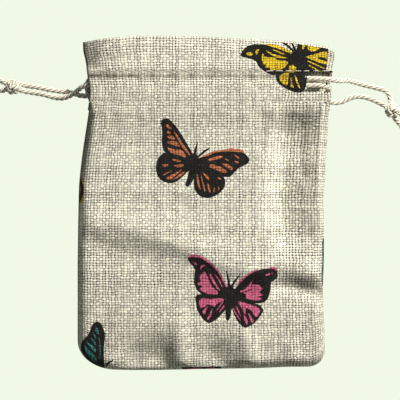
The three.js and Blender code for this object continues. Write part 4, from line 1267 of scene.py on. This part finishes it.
def cordTree():
    tree, start, end = startTree("laidCord", [
        ("Step", "NodeSocketFloat", 0.0003), ("Plies", "NodeSocketInt", 3),
        ("Lay", "NodeSocketFloat", 0.0063),
        ("Ply Radius", "NodeSocketFloat", 0.0004), ("Ply Offset", "NodeSocketFloat", 0.0005),
        ("Sides", "NodeSocketInt", 8), ("Material", "NodeSocketMaterial", None),
    ])
    curve = tree.nodes.new("GeometryNodeMeshToCurve")
    tree.links.new(start.outputs["Geometry"], curve.inputs[0])
    even = tree.nodes.new("GeometryNodeResampleCurve")
    even.mode = "LENGTH"
    tree.links.new(curve.outputs[0], even.inputs["Curve"])
    tree.links.new(start.outputs["Step"], even.inputs["Length"])
    copies = tree.nodes.new("GeometryNodeDuplicateElements")
    copies.domain = "SPLINE"
    tree.links.new(even.outputs[0], copies.inputs["Geometry"])
    tree.links.new(start.outputs["Plies"], copies.inputs["Amount"])
    length = tree.nodes.new("GeometryNodeSplineParameter").outputs["Length"]
    share = calc(tree, "DIVIDE", copies.outputs["Duplicate Index"], start.outputs["Plies"])
    turns = calc(tree, "SUBTRACT", share, calc(tree, "DIVIDE", length, start.outputs["Lay"]))
    turn = calc(tree, "MULTIPLY", turns, 2 * math.pi)
    normal = tree.nodes.new("GeometryNodeInputNormal").outputs[0]
    tangent = tree.nodes.new("GeometryNodeInputTangent").outputs[0]
    side = calcVector(tree, "CROSS_PRODUCT", tangent, normal)
    out = calcVector(tree, "ADD",
                     calcVector(tree, "SCALE", normal, scale=calc(tree, "COSINE", turn)),
                     calcVector(tree, "SCALE", side, scale=calc(tree, "SINE", turn)))
    middle = tree.nodes.new("GeometryNodeStoreNamedAttribute")
    middle.data_type = "FLOAT_VECTOR"
    middle.inputs["Name"].default_value = "middle"
    tree.links.new(copies.outputs["Geometry"], middle.inputs["Geometry"])
    tree.links.new(tree.nodes.new("GeometryNodeInputPosition").outputs[0], middle.inputs["Value"])
    move = tree.nodes.new("GeometryNodeSetPosition")
    tree.links.new(middle.outputs[0], move.inputs["Geometry"])
    tree.links.new(calcVector(tree, "SCALE", out, scale=start.outputs["Ply Offset"]), move.inputs["Offset"])
    ring = tree.nodes.new("GeometryNodeCurvePrimitiveCircle")
    tree.links.new(start.outputs["Sides"], ring.inputs["Resolution"])
    tree.links.new(start.outputs["Ply Radius"], ring.inputs["Radius"])
    sweep = tree.nodes.new("GeometryNodeCurveToMesh")
    sweep.inputs["Fill Caps"].default_value = True
    tree.links.new(move.outputs[0], sweep.inputs["Curve"])
    tree.links.new(ring.outputs[0], sweep.inputs["Profile Curve"])
    # how deep a place lies in the grooves between the plies
    kept = tree.nodes.new("GeometryNodeInputNamedAttribute")
    kept.data_type = "FLOAT_VECTOR"
    kept.inputs["Name"].default_value = "middle"
    reach = tree.nodes.new("ShaderNodeVectorMath")
    reach.operation = "DISTANCE"
    tree.links.new(tree.nodes.new("GeometryNodeInputPosition").outputs[0], reach.inputs[0])
    tree.links.new(kept.outputs[0], reach.inputs[1])
    whole = calc(tree, "ADD", start.outputs["Ply Radius"], start.outputs["Ply Offset"])
    groove = tree.nodes.new("GeometryNodeStoreNamedAttribute")
    groove.data_type = "FLOAT"
    groove.inputs["Name"].default_value = "crown"
    tree.links.new(sweep.outputs[0], groove.inputs["Geometry"])
    tree.links.new(calc(tree, "DIVIDE", reach.outputs["Value"], whole), groove.inputs["Value"])
    finishTree(tree, groove.outputs[0], start.outputs["Material"], end)
    return tree


laidCord = cordTree()


def smoothLine(points, spacing=0.25):
    fixed = [np.array(p, float) for p in points]
    padded = [2 * fixed[0] - fixed[1], *fixed, 2 * fixed[-1] - fixed[-2]]
    dense = []
    for k in range(1, len(padded) - 2):
        a, b, c, d = padded[k - 1:k + 3]
        steps = max(2, int(np.linalg.norm(c - b) / spacing))
        for step in range(steps):
            t = step / steps
            dense.append(throughFour(a, b, c, d, t))
    dense.append(fixed[-1])
    return dense


def layCord(name, points):
    line = [np.array([x, y, max(z, 1.0)]) for x, y, z in smoothLine(points)]
    piece = throughTree(name, laidCord, [line], {
        "Step": cordSizes["step"] * mm, "Plies": cordSizes["plies"], "Lay": cordSizes["lay"] * mm,
        "Ply Radius": cordSizes["plyRadius"] * mm, "Ply Offset": cordSizes["plyOffset"] * mm,
        "Sides": 8, "Material": cottonCord,
    })
    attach(piece, "root")
    return piece, line


leftFrontRoute = [
    [-41.4, 42.5, 10.1], [-42.7, 42.4, 10], [-44.1, 41.9, 9.2], [-45.4, 41.1, 7.8], [-46.6, 40.3, 6.1],
    [-48.1, 39.4, 4.6], [-49.7, 38.7, 3.6], [-51.5, 38.2, 2.7], [-53.3, 38.2, 1.8], [-55.1, 38.5, 1.15],
    [-56.9, 39, 0.92], [-59, 39.6, 0.92], [-61.2, 40, 0.92], [-63.4, 40.3, 0.92], [-65.2, 40.6, 1.1],
    [-66.9, 41, 1.6], [-69.6, 42.2, 2.4], [-72.4, 43.4, 2], [-74.2, 44.4, 1.3], [-76.2, 45.3, 0.92],
    [-78.6, 45.9, 0.92], [-81.2, 46.2, 0.92], [-83.6, 46.3, 0.92],
]
leftBackRoute = [
    [-39.2, 39.6, 2], [-41, 39.4, 2], [-42.6, 39.1, 1.7], [-44.2, 39, 1.25], [-46, 39.3, 0.92],
    [-48, 39.9, 0.92], [-50, 40.4, 0.92], [-52.2, 40.7, 0.92], [-54.6, 40.95, 0.92], [-57, 41.3, 0.92],
    [-59.2, 41.8, 0.92], [-61.4, 42.2, 0.92], [-63.6, 42.5, 0.92], [-65.3, 42.8, 1.1], [-66.9, 43.1, 1.6],
    [-69.9, 42.2, 2.2], [-72.8, 41.1, 2], [-74.6, 40.9, 1.3], [-76.6, 40.6, 0.92], [-79, 40.2, 0.92],
    [-81.4, 39.9, 0.92],
]
rightFrontRoute = [
    [36, 44.6, 10.1], [38.5, 44.6, 10.1], [41.5, 44.5, 10.1], [44.4, 44.3, 10.1], [46.6, 44.1, 9.1],
    [48.6, 44.2, 7], [50.4, 44.4, 5.3], [52.3, 44.3, 3.7], [54.2, 43.9, 2.3], [56.2, 43.4, 1.3],
    [58.4, 42.8, 0.95], [60.4, 42.3, 0.92], [62.4, 41.8, 0.92], [64.1, 41.4, 0.92], [65.5, 40.6, 0.92],
    [66.5, 39.3, 0.92], [66.9, 37.7, 1], [67, 36.6, 1.4], [67.8, 34, 2.4], [70.1, 32.9, 2],
    [71.3, 32.1, 1.3], [72.8, 30.9, 0.92], [74.2, 29.4, 0.92], [75.3, 27.6, 0.92], [76.1, 25.6, 0.92],
]
rightBackRoute = [
    [43.8, 37.2, 1.9], [45.3, 36.8, 1.6], [47, 36.6, 1.15], [48.8, 36.8, 0.93], [50.6, 37.5, 0.92],
    [52.4, 38.3, 0.92], [54.4, 38.8, 0.92], [56.6, 38.8, 0.92], [58.8, 38.3, 0.92], [61, 37.5, 0.92],
    [63, 36.5, 0.98], [65, 35.3, 1.5], [66.9, 33.6, 2.3], [68.4, 31, 2], [69.6, 29.8, 1.3],
    [70.8, 28.3, 0.92], [71.8, 26.5, 0.92], [72.5, 24.5, 0.92],
]

upperLane, lowerLane = casingMiddle + 2.6, casingMiddle + 0.3
backUpperLane, backLowerLane = casingMiddle - pouch["backSlip"] - 0.5, casingMiddle - pouch["backSlip"] - 2.8
topLane = pouch["cloth"] + hem + pouch["channel"] + pouch["mouthGap"] + pouch["channel"] / 2
tableLane = pouch["cloth"] + pouch["channel"] / 2
drop = topLane - tableLane
farRightTurn, farLeftTurn = rightEdge - 5.9, float(leftX(casingMiddle)) + 3.2
leftHeldRoute = [
    [float(leftX(casingMiddle)) + 0.5, lowerLane + 0.3, topLane], [-30, lowerLane + 0.1, topLane],
    [-10, lowerLane - 0.1, topLane], [10, lowerLane, topLane], [30, lowerLane, topLane],
    [farRightTurn - 2.5, lowerLane, topLane], [farRightTurn, lowerLane, topLane],
    [farRightTurn + 2.7, lowerLane - 0.3, topLane - 0.15 * drop],
    [farRightTurn + 3.9, lowerLane - 1.1, topLane - 0.5 * drop],
    [farRightTurn + 2.7, backUpperLane + 0.3, topLane - 0.85 * drop],
    [farRightTurn, backUpperLane, tableLane], [farRightTurn - 2.5, backUpperLane, tableLane],
    [30, backUpperLane, tableLane], [10, backUpperLane, tableLane], [-10, backUpperLane, tableLane],
    [-30, backUpperLane, tableLane], [float(leftX(casingMiddle)) + 2.9, backUpperLane, tableLane],
]
rightHeldRoute = [
    [rightEdge - slits["frontMouth"], upperLane, topLane], [20, upperLane, topLane], [0, upperLane, topLane],
    [-20, upperLane, topLane], [farLeftTurn + 2.5, upperLane, topLane], [farLeftTurn, upperLane, topLane],
    [farLeftTurn - 2, upperLane, topLane - 0.05 * drop],
    [farLeftTurn - 3.3, upperLane - 0.3, topLane - 0.18 * drop],
    [farLeftTurn - 4, upperLane - 1.3, topLane - 0.34 * drop],
    [farLeftTurn - 4.2, upperLane - 2.9, topLane - 0.5 * drop],
    [farLeftTurn - 4, upperLane - 4.7, topLane - 0.63 * drop],
    [farLeftTurn - 3.4, backLowerLane + 1.1, topLane - 0.77 * drop],
    [farLeftTurn - 2.2, backLowerLane + 0.1, topLane - 0.91 * drop],
    [farLeftTurn, backLowerLane, tableLane],
    [farLeftTurn + 2.5, backLowerLane, tableLane], [-20, backLowerLane, tableLane],
    [0, backLowerLane, tableLane],
    [20, backLowerLane, tableLane], [rightEdge - 3.2, backLowerLane, tableLane],
]

knotSizes = {"turnRadius": 1.2, "wind": 0.72, "tall": 1.5, "around": 3, "through": 4}


def knotLine(place, tilt):
    line = []
    for k in range(161):
        t = 2 * math.pi * k / 160
        wide = knotSizes["turnRadius"] + knotSizes["wind"] * math.cos(knotSizes["through"] * t)
        turn = knotSizes["around"] * t
        x, y = wide * math.cos(turn), wide * math.sin(turn)
        z = knotSizes["tall"] * math.sin(knotSizes["through"] * t)
        y, z = y * math.cos(tilt) - z * math.sin(tilt), y * math.sin(tilt) + z * math.cos(tilt)
        line.append(np.array([place[0] + x, place[1] + y, max(place[2] + z, 0.95)]))
    return line


def tieKnot(name, place, tilt):
    piece = throughTree(name, laidCord, [knotLine(place, tilt)], {
        "Step": 0.2 * mm, "Plies": 3, "Lay": cordSizes["lay"] * mm * 0.8,
        "Ply Radius": cordSizes["plyRadius"] * mm, "Ply Offset": cordSizes["plyOffset"] * mm,
        "Sides": 8, "Material": cottonCord,
    })
    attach(piece, "root")
    return piece


leftKnot = tieKnot("leftKnot", (-69.8, 42.2, 2.6), 0.9)
rightKnot = tieKnot("rightKnot", (67.5, 33.7, 2.6), 0.6)
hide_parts("left_knot")
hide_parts("right_knot")

leftHeld = layCord("leftCordInCasing", leftHeldRoute)[0]
rightHeld = layCord("rightCordInCasing", rightHeldRoute)[0]
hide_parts("left_cord_in_casing")
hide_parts("right_cord_in_casing")

freeRoutes = (
    ("leftFrontCord", leftFrontRoute, ("left_front_end", "left_tail_long"), [leftKnot]),
    ("leftBackCord", leftBackRoute, ("left_back_end", "left_tail_short"), []),
    ("rightFrontCord", rightFrontRoute, ("right_front_end", "right_tail_long"), [rightKnot]),
    ("rightBackCord", rightBackRoute, ("right_back_end", "right_tail_short"), []),
)
for name, route, nodes, extras in freeRoutes:
    cord, line = layCord(name, route)
    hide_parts(*nodes)
print("stage: cords")


# stitch rows
stitchSizes = {"pitch": 3.3, "length": 2.7, "radius": 0.17, "margin": 1.5}


def stitchTree():
    tree, start, end = startTree("stitchRow", [
        ("Pitch", "NodeSocketFloat", 0.0033), ("Stitch Length", "NodeSocketFloat", 0.0027),
        ("Thread Radius", "NodeSocketFloat", 0.0002), ("Bow", "NodeSocketFloat", 1.0),
        ("Seed", "NodeSocketInt", 3),
        ("Material", "NodeSocketMaterial", None),
    ])
    curve = tree.nodes.new("GeometryNodeMeshToCurve")
    tree.links.new(start.outputs["Geometry"], curve.inputs[0])
    spaced = tree.nodes.new("GeometryNodeResampleCurve")
    spaced.mode = "LENGTH"
    tree.links.new(curve.outputs[0], spaced.inputs["Curve"])
    tree.links.new(start.outputs["Pitch"], spaced.inputs["Length"])
    arc = tree.nodes.new("GeometryNodeCurveQuadraticBezier")
    arc.inputs["Resolution"].default_value = 8
    half = calc(tree, "MULTIPLY", start.outputs["Stitch Length"], 0.5)
    for socket, sign, rise in (("Start", -1.0, -1.3), ("Middle", 0.0, 2.2), ("End", 1.0, -1.3)):
        joined = tree.nodes.new("ShaderNodeCombineXYZ")
        tree.links.new(calc(tree, "MULTIPLY", half, sign), joined.inputs[0])
        bow = calc(tree, "MULTIPLY", start.outputs["Bow"], rise)
        tree.links.new(calc(tree, "MULTIPLY", start.outputs["Thread Radius"], bow), joined.inputs[2])
        tree.links.new(joined.outputs[0], arc.inputs[socket])
    ring = tree.nodes.new("GeometryNodeCurvePrimitiveCircle")
    ring.inputs["Resolution"].default_value = 7
    tree.links.new(start.outputs["Thread Radius"], ring.inputs["Radius"])
    sweep = tree.nodes.new("GeometryNodeCurveToMesh")
    sweep.inputs["Fill Caps"].default_value = True
    tree.links.new(arc.outputs[0], sweep.inputs["Curve"])
    tree.links.new(ring.outputs[0], sweep.inputs["Profile Curve"])
    place = tree.nodes.new("GeometryNodeInstanceOnPoints")
    tree.links.new(spaced.outputs[0], place.inputs["Points"])
    tree.links.new(sweep.outputs[0], place.inputs["Instance"])
    align = tree.nodes.new("FunctionNodeAlignRotationToVector")
    align.axis = "X"
    align.pivot_axis = "AUTO"
    tangent = tree.nodes.new("GeometryNodeInputTangent").outputs[0]
    chance = tree.nodes.new("FunctionNodeRandomValue")
    chance.data_type = "FLOAT_VECTOR"
    chance.inputs["Min"].default_value = (-0.05, -0.09, -0.02)
    chance.inputs["Max"].default_value = (0.05, 0.09, 0.02)
    tree.links.new(start.outputs["Seed"], chance.inputs["Seed"])
    tree.links.new(calcVector(tree, "ADD", tangent, chance.outputs["Value"]), align.inputs["Vector"])
    tree.links.new(align.outputs[0], place.inputs["Rotation"])
    finishTree(tree, place.outputs[0], start.outputs["Material"], end)
    return tree


stitchRow = stitchTree()


def rowOnSheet(points, kinds, wanted, target, margin):
    rows = [k for k, kind in enumerate(kinds) if kind == wanted]
    best = min(rows, key=lambda k: abs(points[k, points.shape[1] // 2, 1] - target))
    line = points[best]
    return [p for p in line[::2] if line[0][0] + margin < p[0] < line[-1][0] - margin]


def sewRow(name, line, lift, seed, bow):
    piece = throughTree(name, stitchRow, [[(x, y, z + lift) for x, y, z in line]], {
        "Pitch": stitchSizes["pitch"] * mm, "Stitch Length": stitchSizes["length"] * mm,
        "Thread Radius": stitchSizes["radius"] * mm, "Bow": bow, "Seed": seed, "Material": sewingThread,
    })
    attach(piece, "root")
    return piece


stitchRows = (
    ("frontUpperStitches", frontPoints, frontKinds, "header", upperStitch, 0.06, 3, 1.0),
    ("frontLowerStitches", frontPoints, frontKinds, "casing", lowerStitch, -0.04, 4, 1.0),
    ("backUpperStitches", backPoints, backKinds, "header", upperStitch - pouch["backSlip"], 0.02, 5, -1.0),
    ("backLowerStitches", backPoints, backKinds, "casing", lowerStitch - pouch["backSlip"], 0.02, 6, -1.0),
)
for name, points, kinds, wanted, target, lift, seed, bow in stitchRows:
    sewRow(name, rowOnSheet(points, kinds, wanted, target, stitchSizes["margin"]), lift, seed, bow)
print("stage: stitches")


# floor and lights
def makeFloor():
    mesh = bpy.data.meshes.new("floor")
    mesh.from_pydata([(-3, -3, 0), (3, -3, 0), (3, 3, 0), (-3, 3, 0)], [], [(0, 1, 2, 3)])
    floor = bpy.data.objects.new("floor", mesh)
    bpy.context.scene.collection.objects.link(floor)
    material = bpy.data.materials.new("paleFloor")
    material.use_nodes = True
    tree = material.node_tree
    shader = tree.nodes["Principled BSDF"]
    shader.inputs["Base Color"].default_value = linear(205, 212, 196)
    shader.inputs["Roughness"].default_value = 0.9
    glow = tree.nodes.new("ShaderNodeEmission")
    glow.inputs["Color"].default_value = linear(241, 249, 230)
    path = tree.nodes.new("ShaderNodeLightPath")
    blend = tree.nodes.new("ShaderNodeMixShader")
    tree.links.new(path.outputs["Is Camera Ray"], blend.inputs[0])
    tree.links.new(shader.outputs[0], blend.inputs[1])
    tree.links.new(glow.outputs[0], blend.inputs[2])
    tree.links.new(blend.outputs[0], tree.nodes["Material Output"].inputs["Surface"])
    mesh.materials.append(material)


lamps = {
    "key": {"from": (0.42, 0.46, 0.46), "size": 0.07, "watts": 9.0, "color": (1.0, 0.985, 0.95)},
    "fill": {"from": (0.15, 0.35, 0.9), "size": 0.9, "watts": 1.3, "color": (0.96, 0.99, 1.0)},
}


def addLamp(name, settings):
    data = bpy.data.lights.new(name, "AREA")
    data.size = settings["size"]
    data.energy = settings["watts"]
    data.color = settings["color"]
    lamp = bpy.data.objects.new(name, data)
    lamp.location = settings["from"]
    lamp.rotation_euler = (Vector((0, 0, 0)) - Vector(settings["from"])).to_track_quat("-Z", "Y").to_euler()
    bpy.context.scene.collection.objects.link(lamp)


makeFloor()
for lampName, lampSettings in lamps.items():
    addLamp(lampName, lampSettings)
world = bpy.data.worlds.new("paleRoom")
world.use_nodes = True
world.node_tree.nodes["Background"].inputs["Color"].default_value = (0.93, 0.96, 0.9, 1)
world.node_tree.nodes["Background"].inputs["Strength"].default_value = 0.11
bpy.context.scene.world = world
bpy.context.scene.view_settings.view_transform = "Standard"
bpy.context.scene.view_settings.look = "None"
print("stage: floor and lights")
